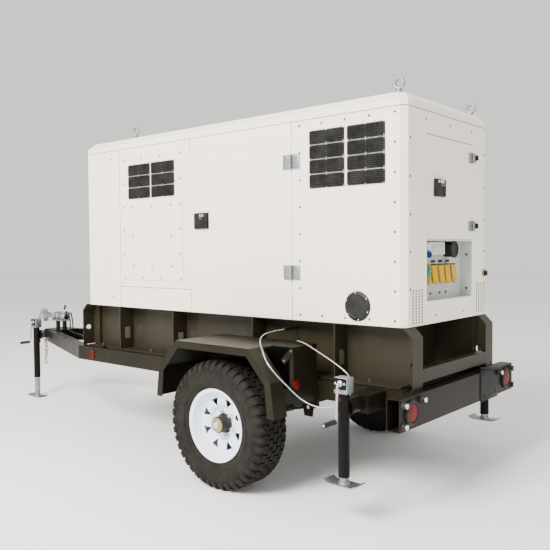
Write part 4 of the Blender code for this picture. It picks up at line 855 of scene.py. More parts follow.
door_leaves, wall_leaves = [], []
for z in (1.292, 1.970):
    door_leaves.append(hinge(PIN[0] + 0.001, z, 0.044, 0.060, -1))
    wall_leaves.append(hinge(PIN[0] + 0.012, z, 0.044, 0.056, 1))
    for dz, owner in ((-0.033, wall_leaves), (0.0, door_leaves), (0.033, wall_leaves)):
        owner.append(disc("knuckle", (PIN[0], PIN[1], z + dz), 0.0112, 0.0215 if dz else 0.040, "Z", 0.0012,
                          20))
DOORS = ("side_door_left", "side_door_right")
pair(joined("leaves", door_leaves), "door_hinge_leaves", galvanised, DOORS, "zinc")
pair(joined("leaves", wall_leaves), "wall_hinge_leaves", galvanised, BOTH, "zinc")
print("hinges on a pin at x", round(PIN[0], 3))


# %% Side latches
latch_low, latch_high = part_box("side_latch_left")
LX, LZ = (latch_low[0] + latch_high[0]) / 2, (latch_low[2] + latch_high[2]) / 2
bezel = block("bezel", (LX - 0.070, -FACE - 0.0050, LZ - 0.056), (LX + 0.070, -FACE - 0.0004, LZ + 0.056),
              0.002, 2)
pocket = block("pocket", (LX - 0.0630, -FACE - 0.02, LZ - 0.0530),
               (LX + 0.0630, -FACE + 0.0008, LZ + 0.0535), 0)
pair(carved(bezel, pocket), "latch_bezel", black_plastic, DOORS, "black_plastic")
paddle = block("paddle", (LX - 0.062, -FACE - 0.020, LZ - 0.052), (LX + 0.062, -FACE - 0.0010, LZ + 0.052),
               0.004, 3)
grip_cut = block("grip_cut", (LX - 0.040, -FACE - 0.0118, LZ - 0.080),
                 (LX + 0.040, -FACE + 0.01, LZ + 0.020), 0.001)
paddle = carved(paddle, grip_cut)
thumb = block("thumb", (LX - 0.034, -FACE - 0.030, LZ - 0.040), (LX + 0.034, -FACE - 0.0175, LZ + 0.012), 0)
thumb = carved(paddle, thumb)
ribs = repeated("ribs", block("rib", (LX - 0.030, -FACE - 0.0192, LZ - 0.0335),
                              (LX + 0.030, -FACE - 0.0165, LZ - 0.0305),
                              0.0006), [shift(z=0.009 * i) for i in range(5)])
paddle = joined("paddle", [thumb, ribs])
LATCHES = ("side_latch_left", "side_latch_right")
pair(paddle, "latch_paddle", black_plastic, LATCHES, "black_plastic",
     (("side_latch_left",), ("side_latch_right",)))


def lock_with_key(x, y, z):
    """Keyed barrel facing -Y with a key in it."""
    barrel = disc("barrel", (x, y - 0.003, z), 0.0095, 0.009, "Y", 0.001, 20)
    blade = block("blade", (x - 0.0008, y - 0.018, z - 0.004), (x + 0.0008, y - 0.006, z + 0.003), 0.0002)
    bow = disc("bow", (x, y - 0.0255, z - 0.002), 0.0105, 0.0022, "X", 0.0005, 16)
    ring_points = [(x + 0.003, y - 0.028 + 0.010 * math.sin(a), z - 0.017 + 0.012 * math.cos(a))
                   for a in [2 * math.pi * i / 14 for i in range(14)]]
    ring = pipe("key_ring", ring_points, 0.0007, 1, True)
    return joined("lock", [barrel, blade, bow, ring])


pair(lock_with_key(LX + 0.030, -FACE - 0.0195, LZ + 0.036), "latch_lock", zinc_plate, LATCHES, "zinc")
print("latch centre", round(LX, 3), round(LZ, 3))

# %% [markdown]
# ## The rear: control door, its catches and the outlets
#
# The control door has a paddle latch and quarter-turn catches on its hinge side. Below it,
# a recess holds two round inlets, a breaker box, a large black socket, a green earth knob
# and four yellow outlets under spring lids. The lids lean outwards. One outlet is modelled
# and copied four times.

# %% Control door fittings
pin_x, pin_y = REAR + 0.012, 0.306
leaves = []
for z in (1.573, 2.000):
    leaf = block("leaf", (REAR + 0.0004, pin_y - 0.050, z - 0.032), (REAR + 0.0082, pin_y, z + 0.032),
                 0.0014, 2)
    bolts = [shift(REAR + 0.0082, pin_y - 0.032, z + dz) @ rear_turn for dz in (-0.018, 0.018)]
    leaves += [leaf, repeated("bolts", screw(0.0065, 0.005), bolts),
               disc("knuckle", (pin_x, pin_y, z), 0.0096, 0.062, "Z", 0.001, 20)]
done(joined("control_hinges", leaves), galvanised, "control_door", "zinc")
catch_low, catch_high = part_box("control_latch")
CY, CZ = (catch_low[1] + catch_high[1]) / 2, (catch_low[2] + catch_high[2]) / 2
bezel = block("bezel", (REAR + 0.0004, CY - 0.068, CZ - 0.054), (REAR + 0.0050, CY + 0.068, CZ + 0.054),
              0.002, 2)
pocket = block("pocket", (REAR - 0.01, CY - 0.0610, CZ - 0.0510),
               (REAR + 0.02, CY + 0.0610, CZ + 0.0515), 0)
done(carved(bezel, pocket), zinc_plate, "control_door", "zinc")
paddle = block("control_paddle", (REAR + 0.0010, CY - 0.060, CZ - 0.050),
               (REAR + 0.022, CY + 0.060, CZ + 0.050), 0.004, 3)
grip_cut = block("grip_cut", (REAR - 0.01, CY - 0.040, CZ - 0.080), (REAR + 0.0128, CY + 0.040, CZ + 0.018),
                 0.001)
paddle = carved(paddle, grip_cut)
thumb = block("thumb", (REAR + 0.0190, CY - 0.034, CZ - 0.040), (REAR + 0.030, CY + 0.034, CZ + 0.010), 0)
done(carved(paddle, thumb), black_plastic, "control_latch", "black_plastic", ["control_latch"])
key = lock_with_key(0, 0, 0)
key.data.transform(shift(REAR + 0.0222, CY - 0.038, CZ + 0.034) @ rear_turn)
done(key, zinc_plate, "control_latch", "zinc")
gasket = block("gasket", (REAR - 0.0020, -0.289, 2.0828), (REAR + 0.0009, 0.309, 2.0862), 0.0004)
done(gasket, black_plastic, "chassis", "black_plastic")


def catch(y, z):
    """Quarter-turn catch: a round rose and a black wing knob."""
    rose = spun("rose", (0, 0, 0), [(0, 0.0), (0.027, 0.0), (0.027, -0.003), (0.021, -0.006), (0, -0.006)],
                "Y", 28, False)
    wing = block("wing", (-0.0045, -0.026, -0.0165), (0.0045, -0.004, 0.0165), 0.003, 2)
    stem = disc("stem", (0, -0.010, 0), 0.0095, 0.014, "Y", 0.001, 18)
    place = shift(REAR + 0.0004, y, z) @ rear_turn
    for piece in (rose, wing, stem):
        piece.data.transform(place)
    return rose, joined("wing", [wing, stem])


roses, wings = [], []
for y, z in ((0.345, 2.005), (0.345, 1.575), (0.490, 1.271)):
    rose, wing = catch(y, z)
    roses.append(rose)
    wings.append(wing)
done(joined("catch_roses", roses), brass_cap, "chassis", "zinc")
done(joined("catch_wings", wings), black_plastic, "chassis", "black_plastic")
print("control door fittings done")

# %% Outlets in the recess
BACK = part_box("socket_panel")[0][0]
outlet = block("outlet", (BACK + 0.002, -0.0315, 1.220), (BACK + 0.042, 0.0315, 1.341), 0.006, 3)
in_edit(outlet, ("face", lambda f: f.normal.x > 0.95 and f.calc_area() > 0.004),
        lambda: bpy.ops.mesh.inset(thickness=0.007, depth=0.004))
lid = block("lid", (BACK + 0.042, -0.0295, 1.234), (BACK + 0.054, 0.0295, 1.334), 0.005, 3)
lid.data.transform(shift(BACK + 0.042, 0, 1.334) @ Matrix.Rotation(math.radians(-9), 4, "Y")
                   @ shift(-BACK - 0.042, 0, -1.334))
lip = block("lip", (BACK + 0.054, -0.016, 1.224), (BACK + 0.070, 0.016, 1.232), 0.002, 2)
outlet = joined("outlet", [outlet, lid, lip])
OUTLET_PITCH = 0.083
outlet_ys = [-0.145 + OUTLET_PITCH * i for i in range(4)]
done(repeated("yellow_outlets", outlet, [shift(y=y) for y in outlet_ys]), yellow_plastic, "chassis",
     "black_plastic")
springs = repeated("lid_pins", disc("lid_pin", (BACK + 0.048, 0, 1.339), 0.0035, 0.068, "Y", 0.0006, 12),
                   [shift(y=y) for y in outlet_ys])
done(springs, black_plastic, "chassis", "black_plastic")
breaker = block("breaker", (BACK + 0.002, -0.183, 1.397), (BACK + 0.042, 0.013, 1.473), 0.004, 3)
in_edit(breaker, ("face", lambda f: f.normal.x > 0.95 and f.calc_area() > 0.008),
        lambda: bpy.ops.mesh.inset(thickness=0.012, depth=-0.004))
done(breaker, pale_plastic, "chassis", "socket_tray")
toggles = repeated("toggles",
                   block("toggle", (BACK + 0.036, -0.152, 1.426), (BACK + 0.051, -0.140, 1.444), 0.002, 2),
                   [shift(y=0.0245 * i) for i in range(6)])
tags = repeated("tags", block("tag", (BACK + 0.0015, -0.092, 1.3505), (BACK + 0.0060, -0.044, 1.3640),
                              0.0005),
                [shift(y=0.094 * i) for i in range(3)])
done(toggles, pale_plastic, "chassis", "socket_tray")
done(tags, black_plastic, "chassis", "black_plastic")
big = spun("big_socket", (BACK, 0.100, 1.428),
           [(0.0, BACK + 0.010), (0.0475, BACK + 0.002), (0.0475, BACK + 0.050), (0.044, BACK + 0.056),
            (0.052, BACK + 0.056), (0.053, BACK + 0.065), (0.040, BACK + 0.067), (0.036, BACK + 0.062),
            (0.0, BACK + 0.062)],
           "X", 40, False)
done(big, black_plastic, "chassis", "black_plastic")
inlet = spun("round_inlet", (BACK, -0.205, 1.398),
             [(0.0, BACK + 0.002), (0.018, BACK + 0.002), (0.018, BACK + 0.046), (0.020, BACK + 0.050),
              (0.020, BACK + 0.058), (0.015, BACK + 0.060), (0.012, BACK + 0.050), (0.0, BACK + 0.050)],
             "X", 32, False)
done(inlet, blue_plastic, "chassis", "black_plastic")
port = spun("pale_port", (BACK, -0.208, 1.448),
            [(0.0, BACK + 0.002), (0.023, BACK + 0.002), (0.023, BACK + 0.050), (0.019, BACK + 0.056),
             (0.0, BACK + 0.054)],
            "X", 28, False)
done(port, pale_plastic, "chassis", "socket_tray")
earth_knob = spun("earth_knob", (BACK, -0.193, 1.300),
                  [(0.0, BACK + 0.002), (0.012, BACK + 0.002), (0.012, BACK + 0.030), (0.017, BACK + 0.032),
                   (0.017, BACK + 0.050), (0.013, BACK + 0.054), (0.0, BACK + 0.054)], "X", 12, False)
done(earth_knob, green_plastic, "chassis", "black_plastic")
studs = [shift(BACK + 0.0022, y, z) @ rear_turn for y, z in ((-0.10, 1.165),
                                                            (0.02, 1.165), (0.10, 1.165))]
studs += [shift(REAR - 0.0355, 0.3073, z) for z in (1.394, 1.180)]
done(repeated("tray_bolts", screw(0.0085, 0.007), studs), dark_steel, "chassis", "zinc")
print("outlets at", outlet_ys)

# %% Slotted air vents in the rear wall, drawn as flat dark slots of painted shade
slot_piece = block("slot", (REAR - 0.0004, -0.0065, -0.0055), (REAR + 0.0005, 0.0065, 0.0055), 0)
in_edit(slot_piece, ("edge", lambda e: abs(e.verts[0].co.x - e.verts[1].co.x) > 0.0005),
        lambda: bpy.ops.mesh.bevel(offset=0.0028, segments=3))
slot_places = []
for y0, z0 in ((-0.448, 1.020), (0.381, 1.028)):
    slot_places += [shift(y=y0 + 0.0350 * i, z=z0 + 0.0162 * k) for i in range(4) for k in range(12)]
done(repeated("air_slot_shade", slot_piece, slot_places), seam_shadow, "chassis", "canopy_paint")
print(len(slot_places), "slots")

# %% [markdown]
# ## Bumper: lamps, buffers and the plate bracket
#
# A round lamp sits in a thick rubber grommet. Its lens is a shallow dome. Small rubber
# buffers with steel caps stand beside it, and a folded black plate carries the number.

# %% Lamps, buffers and bracket
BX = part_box("tail_lamp_left")[0][0]
LAMP = (BX, -0.632, 0.570)
grommet = spun("grommet", LAMP, [(0.050, BX), (0.066, BX), (0.0675, BX + 0.006), (0.064, BX + 0.0135),
                                 (0.058, BX + 0.0165), (0.053, BX + 0.0150), (0.051, BX + 0.009)], "X", 48)
pair(grommet, "lamp_grommet", hose_rubber, BOTH, "black_plastic")
lens_piece = spun("lens", LAMP,
                  [(0.0, BX + 0.0005), (0.0525, BX + 0.0005), (0.0525, BX + 0.009), (0.049, BX + 0.0125),
                                 (0.030, BX + 0.0150), (0.0, BX + 0.0158)], "X", 48, False)
pair(lens_piece, "lamp_lens", red_lens, BOTH, "lamp_lens", (("tail_lamp_left",), ("tail_lamp_right",)))
buffers, caps = [], []
for y, z in ((0.722, 0.622), (0.722, 0.512), (0.520, 0.622)):
    buffers.append(spun("buffer", (REAR + 0.09, -y, z), [(0.0, REAR + 0.0895), (0.0215, REAR + 0.0895),
                                                         (0.0215, REAR + 0.094), (0.0172, REAR + 0.098),
                                                         (0.0168, REAR + 0.1175), (0.0, REAR + 0.1180)],
                        "X", 24, False))
    caps.append(spun("cap", (REAR + 0.09, -y, z), [(0.0, REAR + 0.1176), (0.0150, REAR + 0.1176),
                                                   (0.0142, REAR + 0.1205), (0.0, REAR + 0.1220)], "X", 24,
                     False))
pair(joined("buffers", buffers), "rubber_buffers", hose_rubber, BOTH, "black_plastic")
pair(joined("caps", caps), "buffer_caps", zinc_plate, BOTH, "zinc")
bracket = block("plate_bracket", (REAR + 0.0903, 0.234, 0.470), (REAR + 0.0935, 0.500, 0.672), 0.0012, 2)
flange = block("flange", (REAR + 0.060, 0.236, 0.6560), (REAR + 0.0930, 0.498, 0.6590), 0.0010)
slots = repeated("bracket_slots",
                 block("cut", (REAR + 0.08, 0.262, 0.636), (REAR + 0.10, 0.296, 0.644), 0.001),
                 [shift(y=0.176 * i, z=-0.130 * k) for i in range(2) for k in range(2)])
done(joined("plate_bracket", [carved(bracket, slots), flange]), jack_paint, "chassis", "chassis_paint")
print("lamps at y ±0.632")

# %% [markdown]
# ## Screw jacks
#
# Two swivel jacks hang beside the bumper and one stands by the coupling. Each is a black
# tube with a galvanised gear head, an inner leg with a folded foot plate, and a crank with
# a ribbed grip. One function makes a jack at a place; the right one mirrors the left.

# %% One jack
def jack(label, x, y, pivot_z, tube_bottom, foot_z, leg_top):
    """Lists of (name, piece, finish, body kind) for a jack whose crank faces -Y."""
    tube = spun("tube", (x, y, 0),
                [(0.0262, tube_bottom), (0.0302, tube_bottom), (0.0306, tube_bottom + 0.012),
                                    (0.0300, tube_bottom + 0.014), (0.0300, 0.706), (0.0262, 0.706)], "Z",
                40)
    collar = spun("collar", (x, y, pivot_z), [(0.0, y + 0.0266), (0.040, y + 0.0266), (0.0425, y + 0.0285),
                                              (0.0425, y + 0.033), (0.0395, y + 0.0345),
                                              (0.0395, y + 0.0403),
                                              (0.0, y + 0.0403)], "Y", 36, False)
    gusset = pressed("gusset", [(x - 0.006, pivot_z - 0.078), (x + 0.006, pivot_z - 0.078),
                                (x + 0.006, pivot_z - 0.02),
                                (x - 0.006, pivot_z - 0.02)], y + 0.0272, y + 0.0395, "Y")
    head = block("head", (x - 0.0425, y - 0.0338, 0.699), (x + 0.0425, y + 0.0345, 0.769), 0.008, 3)
    skirt = block("skirt", (x - 0.0405, y - 0.0330, 0.683), (x + 0.0405, y + 0.0335, 0.702), 0.003, 2)
    top_cap = disc("top_cap", (x, y, 0.7700), 0.018, 0.003, "Z", 0.001, 28)
    boss = spun("boss", (x, y, 0.738), [(0.0088, y - 0.0335), (0.0165, y - 0.0335), (0.0165, y - 0.0372),
                                        (0.0150, y - 0.0384), (0.0088, y - 0.0384)], "Y", 28)
    bolts = repeated("bolts", screw(0.0062, 0.0042),
                     [shift(x + dx, y - 0.0364, 0.738) for dx in (-0.028, 0.028)])
    side_plate = block("side_plate", (x - 0.0385, y - 0.0362, 0.706), (x + 0.0385, y - 0.0330, 0.765),
                       0.001, 2)
    ring_pin = pipe("ring_pin", [(x - 0.030 + 0.004 * math.cos(a), y + 0.030 + 0.019 * math.sin(a),
                                  pivot_z + 0.030 + 0.019 * math.cos(a))
                                 for a in [2 * math.pi * i / 20 for i in range(20)]], 0.0018, 2, True)
    plunger = disc("plunger", (x - 0.026, y + 0.030, pivot_z + 0.046), 0.0075, 0.030, "Z", 0.0015, 18)
    leg = disc("leg", (x, y, (foot_z + 0.006 + leg_top) / 2), 0.0255, leg_top - foot_z - 0.006, "Z", 0.001,
               36)
    half = 0.105
    outline = [(x - half, foot_z + 0.014), (x - half + 0.030, foot_z), (x + half - 0.030, foot_z),
               (x + half, foot_z + 0.014), (x + half - 0.004, foot_z + 0.019),
               (x + half - 0.032, foot_z + 0.0055), (x - half + 0.032, foot_z + 0.0055),
               (x - half + 0.004, foot_z + 0.019)]
    foot = pressed("foot", outline, y - 0.048, y + 0.048, "Y", 0.0008)
    socket = spun("socket", (x, y, 0),
                  [(0.0262, foot_z + 0.004), (0.034, foot_z + 0.004), (0.0315, foot_z + 0.0075),
                                        (0.0295, foot_z + 0.018), (0.0262, foot_z + 0.018)], "Z", 36)
    leg_holes = disc("foot_pin", (x, y, foot_z + 0.013), 0.0045, 0.066, "Y", 0.001, 14)
    start = y - 0.0343
    arm = pipe("arm", [(x, start, 0.738), (x, start - 0.014, 0.738), (x, start - 0.0215, 0.7345),
                       (x, start - 0.0235, 0.726), (x, start - 0.0335, 0.556), (x, start - 0.0365, 0.5485),
                       (x, start - 0.0425, 0.546), (x, start - 0.050, 0.546)], 0.0070, 4)
    nut_ring = disc("arm_nut", (x, start - 0.0085, 0.738), 0.0115, 0.006, "Y", 0.001, 6)
    ribs = [(0.0, start - 0.044)]
    for i in range(11):
        a = start - 0.045 - 0.0088 * i
        ribs += [(0.0118, a), (0.0136, a - 0.0018), (0.0136, a - 0.0062), (0.0118, a - 0.0080)]
    ribs += [(0.0125, start - 0.1425), (0.0, start - 0.1435)]
    grip = spun("grip", (x, y, 0.546), ribs, "Y", 28, False)
    end_nut = disc("end_nut", (x, start - 0.1442, 0.546), 0.0066, 0.004, "Y", 0.001, 14)
    return (("jack_tube_" + label, joined("tube", [tube, collar, gusset, side_plate]), jack_paint,
             "jack_tube_", "jack_black"),
            ("jack_head_" + label, joined("head", [head, skirt, top_cap]), galvanised, "jack_tube_",
             "zinc"),
            ("jack_fittings_" + label, joined("fit", [boss, bolts, ring_pin, plunger]), zinc_plate,
             "jack_tube_", "zinc"),
            ("jack_leg_" + label, joined("leg", [leg, foot, socket, leg_holes]), galvanised, "jack_leg_",
             "zinc"),
            ("jack_arm_" + label, joined("arm", [arm, nut_ring, end_nut]), zinc_plate, "jack_crank_",
             "zinc"),
            ("jack_grip_" + label, grip, black_plastic, "jack_crank_", "black_plastic"))


# %% Place the three jacks
STANDS = {"jack_tube_": "jack_tube_", "jack_leg_": "jack_leg_", "jack_arm_": "jack_crank_"}


def finish_jack(label, name, piece, finish, body, slot):
    """Name a jack piece and let it stand for its CAD node, where it has one."""
    piece.name = name
    stands = [STANDS[key] + label for key in STANDS if name == key + label]
    done(piece, finish, body + label, slot, stands)


jack_x = (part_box("jack_leg_left")[0][0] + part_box("jack_leg_left")[1][0]) / 2
for name, piece, finish, body, slot in jack("left", jack_x, -0.888, 0.600, 0.243, 0.203, 0.640):
    settle(piece)
    twin = copied(piece, MIRROR)
    finish_jack("left", name, piece, finish, body, slot)
    finish_jack("right", name.replace("left", "right"), twin, finish, body, slot)
front_x0 = (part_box("jack_leg_front")[0][0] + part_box("jack_leg_front")[1][0]) / 2
for name, piece, finish, body, slot in jack("front", front_x0, -0.185, 0.610, 0.190, 0.0, 0.490):
    finish_jack("front", name, piece, finish, body, slot)
swivel = spun("swivel", (front_x0, 0, 0.610),
              [(0.0302, -0.143), (0.0440, -0.143), (0.0440, -0.118), (0.0400, -0.112),
                                               (0.0400, -0.084), (0.0440, -0.078), (0.0440, -0.058),
               (0.0302, -0.058)],
              "Y", 40)
done(swivel, galvanised, "chassis", "zinc")
plug = disc("red_plug", (jack_x, -0.9186, 0.655), 0.0085, 0.004, "Y", 0.001, 20)
done(plug, red_lens, "jack_tube_left", "lamp_lens")
print("jacks at x", round(jack_x, 3), "and", round(front_x0, 3))

# %% [markdown]
# ## Coupling, hand brake and chain
#
# The coupling is a galvanised casting. Its head slides a little when the car brakes. A
# thick grip on top opens the ball socket, and a lever with a black knob sets the brake.
# Two hydraulic hoses loop from the housing into the drawbar.

# %% Coupling
BASE_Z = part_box("coupler_housing")[0][2]
LINE_Z = BASE_Z + 0.040
center_line = (0, 0, LINE_Z)
barrel = spun("barrel", center_line,
              [(0.0262, REAR - 4.2745), (0.0425, REAR - 4.2745), (0.0435, REAR - 4.262),
                                      (0.0370, REAR - 4.256), (0.0365, REAR - 4.222),
               (0.0395, REAR - 4.218),
                                      (0.0395, REAR - 4.206), (0.0365, REAR - 4.202),
               (0.0365, REAR - 4.150),
                                      (0.0395, REAR - 4.146), (0.0395, REAR - 4.134),
               (0.0370, REAR - 4.130),
                                      (0.0350, REAR - 4.092), (0.0300, REAR - 4.0855),
               (0.0262, REAR - 4.0855)], "X", 44)
plate = block("plate", (REAR - 4.276, -0.052, BASE_Z + 0.0002), (REAR - 4.084, 0.052, BASE_Z + 0.0130),
              0.003, 2)
spine = pressed("spine", [(REAR - 4.258, BASE_Z + 0.060), (REAR - 4.250, BASE_Z + 0.088),
                          (REAR - 4.150, BASE_Z + 0.092),
                          (REAR - 4.120, BASE_Z + 0.082), (REAR - 4.085, BASE_Z + 0.102),
                          (REAR - 4.085, BASE_Z + 0.060)],
                -0.0125, 0.0125, "Y", 0.002)
flange_bolts = repeated("bolts", disc("bolt", (REAR - 4.262, -0.042, BASE_Z + 0.017), 0.0085, 0.008, "Z",
                                      0.001, 6),
                        [shift(x, y) for x in (0, 0.080, 0.165) for y in (0, 0.084)])
wall_ribs = repeated("ribs", pressed("rib", [(-0.036, BASE_Z + 0.010), (-0.050, BASE_Z + 0.010),
                                             (-0.034, BASE_Z + 0.048)],
                                     REAR - 4.243, REAR - 4.237, "X"),
                     [m @ shift(x=0.055 * i) for i in range(3) for m in (Matrix(), MIRROR)])
done(joined("coupling_housing", [barrel, plate, spine, flange_bolts, wall_ribs]), galvanised, "chassis",
     "zinc",
     ["coupler_housing"])
shaft = spun("shaft", center_line, [(0.0, REAR - 4.440), (0.0250, REAR - 4.440), (0.0250, REAR - 4.162),
                                    (0.0, REAR - 4.162)], "X", 40, False)
BALL = (REAR - 4.500, 0.0)
bell = spun("bell", (BALL[0], 0, 0),
            [(0.0345, BASE_Z - 0.0240), (0.0480, BASE_Z - 0.0240), (0.0500, BASE_Z - 0.019),
                                      (0.0480, BASE_Z - 0.012), (0.0455, BASE_Z + 0.018),
             (0.0400, BASE_Z + 0.050),
                                      (0.0300, BASE_Z + 0.067), (0.0120, BASE_Z + 0.0745),
             (0.0, BASE_Z + 0.075),
                                      (0.0, BASE_Z + 0.055), (0.022, BASE_Z + 0.052),
             (0.0345, BASE_Z + 0.036)], "Z", 48, False)
neck = pressed("neck", [(REAR - 4.492, BASE_Z + 0.016), (REAR - 4.492, BASE_Z + 0.066),
                        (REAR - 4.440, BASE_Z + 0.070),
                        (REAR - 4.392, BASE_Z + 0.062), (REAR - 4.384, BASE_Z + 0.020),
                        (REAR - 4.430, BASE_Z + 0.012)],
               -0.031, 0.031, "Y", 0.006)
ball_hole = disc("ball_hole", (BALL[0], 0, BASE_Z + 0.003), 0.0345, 0.070, "Z", 0, 40)
neck = carved(neck, ball_hole)
cheeks = repeated("cheeks",
                  pressed("cheek", [(REAR - 4.486, BASE_Z + 0.060), (REAR - 4.480, BASE_Z + 0.102),
                                              (REAR - 4.460, BASE_Z + 0.102),
                                    (REAR - 4.446, BASE_Z + 0.064)],
                                    -0.0200, -0.0150, "Y", 0.0012), [Matrix(), MIRROR])
latch_pin = disc("latch_pin", (REAR - 4.470, 0, BASE_Z + 0.091), 0.0055, 0.048, "Y", 0.001, 16)
hook_lever = pipe("hook_lever",
                  [(REAR - 4.410, -0.022, BASE_Z + 0.060), (REAR - 4.404, -0.022, BASE_Z + 0.098),
                                 (REAR - 4.410, -0.022, BASE_Z + 0.114),
                   (REAR - 4.428, -0.022, BASE_Z + 0.121),
                                 (REAR - 4.440, -0.022, BASE_Z + 0.119)], 0.0045, 3, False, True)
done(joined("coupling_head", [shaft, bell, neck, cheeks, latch_pin, hook_lever]), galvanised,
     "coupler_head", "zinc",
     ["coupler_head"])
grip = spun("grip", (0, 0, BASE_Z + 0.089),
            [(0.0, REAR - 4.455), (0.0085, REAR - 4.456), (0.0095, REAR - 4.480),
                                             (0.0125, REAR - 4.500), (0.0125, REAR - 4.600),
             (0.0105, REAR - 4.614),
                                             (0.0, REAR - 4.618)], "X", 28, False)
grip.data.transform(shift(REAR - 4.470, 0, BASE_Z + 0.091) @ Matrix.Rotation(math.radians(-6), 4, "Y")
                    @ shift(-(REAR - 4.470), 0, -(BASE_Z + 0.091)))
done(grip, zinc_plate, "coupler_latch", "zinc", ["coupler_latch"])
print("ball centre at x", round(BALL[0], 3))

# %% Hand brake, hoses and breakaway wire
brake_x, brake_z = REAR - 4.098, BASE_Z + 0.086
stem = pipe("stem", [(brake_x, -0.024, brake_z - 0.006), (brake_x, -0.024, brake_z + 0.009),
                     (brake_x + 0.020, -0.024, brake_z + 0.039)], 0.0060, 3)
hub_disc = disc("hub_disc", (brake_x, -0.0190, brake_z), 0.0135, 0.010, "Y", 0.001, 20)
done(joined("brake_stem", [stem, hub_disc]), zinc_plate, "handbrake", "zinc")
knob = spun("knob", (0, 0, 0),
            [(0.0, 0.0), (0.0075, 0.0), (0.0095, 0.006), (0.0085, 0.014), (0.0098, 0.022),
                                (0.0088, 0.030), (0.0098, 0.038), (0.0080, 0.046), (0.0, 0.048)], "Z", 24,
            False)
knob.data.transform(shift(brake_x + 0.0165, -0.024, brake_z + 0.032) @ Matrix.Rotation(math.radians(24), 4,
                                                                                       "Y"))
done(knob, black_plastic, "handbrake", "black_plastic", ["handbrake_lever"])
hoses = []
for y, peak, land in ((-0.014, 0.062, 0.080), (0.016, 0.048, 0.055)):
    x0, z0 = REAR - 4.088, LINE_Z + 0.008
    hoses.append(pipe("hose", [(x0 - 0.010, y, z0), (x0 + 0.012, y, z0 + 0.002),
                               (x0 + 0.032, y, z0 + peak * 0.60),
                               (x0 + 0.056, y * 1.2, z0 + peak * 0.72),
                               (x0 + land, y * 1.4, z0 + peak * 0.30),
                               (x0 + land + 0.018, y * 1.5, z0 - 0.050),
                               (x0 + land + 0.022, y * 1.5, 0.668)],
                      0.0068, 3, False, True))
    hoses.append(disc("ferrule", (x0 + 0.004, y, z0), 0.0092, 0.020, "X", 0.001, 18))
hoses = joined("brake_hoses", hoses)
done(hoses, hose_rubber, "chassis", "black_plastic")
guide = pipe("brake_line", [(REAR - 4.020, -0.020, 0.6690), (REAR - 3.960, -0.060, 0.6670),
                            (REAR - 3.800, -0.110, 0.6640),
                            (REAR - 3.500, -0.200, 0.6640), (REAR - 3.250, -0.330, 0.6640),
                            (REAR - 3.060, -0.405, 0.6650)],
             0.0040, 2, False, True)
done(guide, hose_rubber, "chassis", "black_plastic")
print("two hoses")

# %% Chain with its hook and staple
chain_x, chain_y, chain_top = REAR - 4.120, -0.205, 0.590
LINKS, LINK_PITCH, LINK_WIRE = 4, 0.0405, 0.0052
LINK_HALF_WIDTH, LINK_HALF_HEIGHT = 0.0150, 0.0245
first_link = chain_top - 0.0135


def link(z, flat):
    """Oval link round its centre; flat says in which plane it lies."""
    points = []
    for i in range(16):
        a = 2 * math.pi * i / 16
        side_way, rise = LINK_HALF_WIDTH * math.cos(a), LINK_HALF_HEIGHT * math.sin(a)
        points.append((chain_x + side_way * flat, chain_y + side_way * (1 - flat), z + rise))
    return pipe("link", points, LINK_WIRE, 3, True)


links = [link(first_link - LINK_PITCH * i, i % 2) for i in range(LINKS)]
low = first_link - LINK_PITCH * (LINKS - 1) - LINK_HALF_HEIGHT
hook_line = [(chain_x, chain_y, low + 0.001), (chain_x, chain_y, low - 0.012)]
for step in range(12):
    a = math.pi * (0.5 + step / 9.2)
    hook_line.append((chain_x + 0.023 * math.cos(a), chain_y, low - 0.045 + 0.031 * math.sin(a)))
hook = pipe("hook", hook_line, 0.0060, 3)
keeper = pipe("keeper", [(chain_x + 0.002, chain_y, low - 0.014), (chain_x + 0.021, chain_y, low - 0.050)],
              0.0018, 2)
done(joined("chain_and_hook", links + [hook, keeper]), brass_cap, "safety_chain", "zinc", ["safety_chain"])
staple = pipe("staple", [(chain_x + x, y, chain_top) for x, y in
                         ((-0.0150, -0.140), (-0.0150, -0.202), (-0.0120, -0.205), (0.0120, -0.205),
                          (0.0150, -0.202), (0.0150, -0.140))], 0.0042, 3)
done(staple, galvanised, "chassis", "zinc")
print("chain of", LINKS, "links")

# %% [markdown]
# ## Small fittings of the frame
#
# What is left are the parts that show the frame was built by hand: bolts on the flanges,
# a side marker, a reflector and a stay behind the mudguard, the eye bolts and the springs
# with their U-bolts.

# %% Bolts, marker, reflector and stay
flange_heads = [shift(x=REAR + x) for x in (-2.82, -2.22, -1.52, -0.80, -0.27)]
bolt = joined("bolt", [disc("washer", (0, -0.470, 0.6716), 0.0145, 0.003, "Z", 0.0006, 20),
                       disc("head", (0, -0.470, 0.6775), 0.0105, 0.009, "Z", 0.0015, 6)])
pair(repeated("flange_bolts", bolt, flange_heads), "flange_bolts", dark_steel, BOTH, "zinc")
clamp = joined("clamp", [block("clamp", (-0.020, -0.560, 0.6603), (0.020, -0.505, 0.6690), 0.0015, 2),
                         disc("clamp_bolt", (0, -0.545, 0.6740), 0.0090, 0.009, "Z", 0.0012, 6)])
pair(repeated("clamps", clamp, [shift(x=REAR + x) for x in (-2.72, -0.36)]), "frame_clamps", chassis_paint,
     BOTH,
     "chassis_paint")
HOLE = (REAR + 0.001, -0.4205, 0.780)
rim_ring = spun("rim_ring", HOLE,
                [(0.0262, -0.4335), (0.0345, -0.4335), (0.0375, -0.4305), (0.0375, -0.4262),
                                   (0.0262, -0.4262)], "Y", 40)
pair(rim_ring, "base_hole_rim", base_paint, BOTH, "base_paint")
MARK = (REAR - 2.825, -0.576, 0.600)
marker = spun("marker", MARK,
              [(0.0, -0.5763), (0.030, -0.5763), (0.030, -0.582), (0.026, -0.587), (0.019, -0.587),
                               (0.017, -0.583), (0.0, -0.583)], "Y", 36, False)
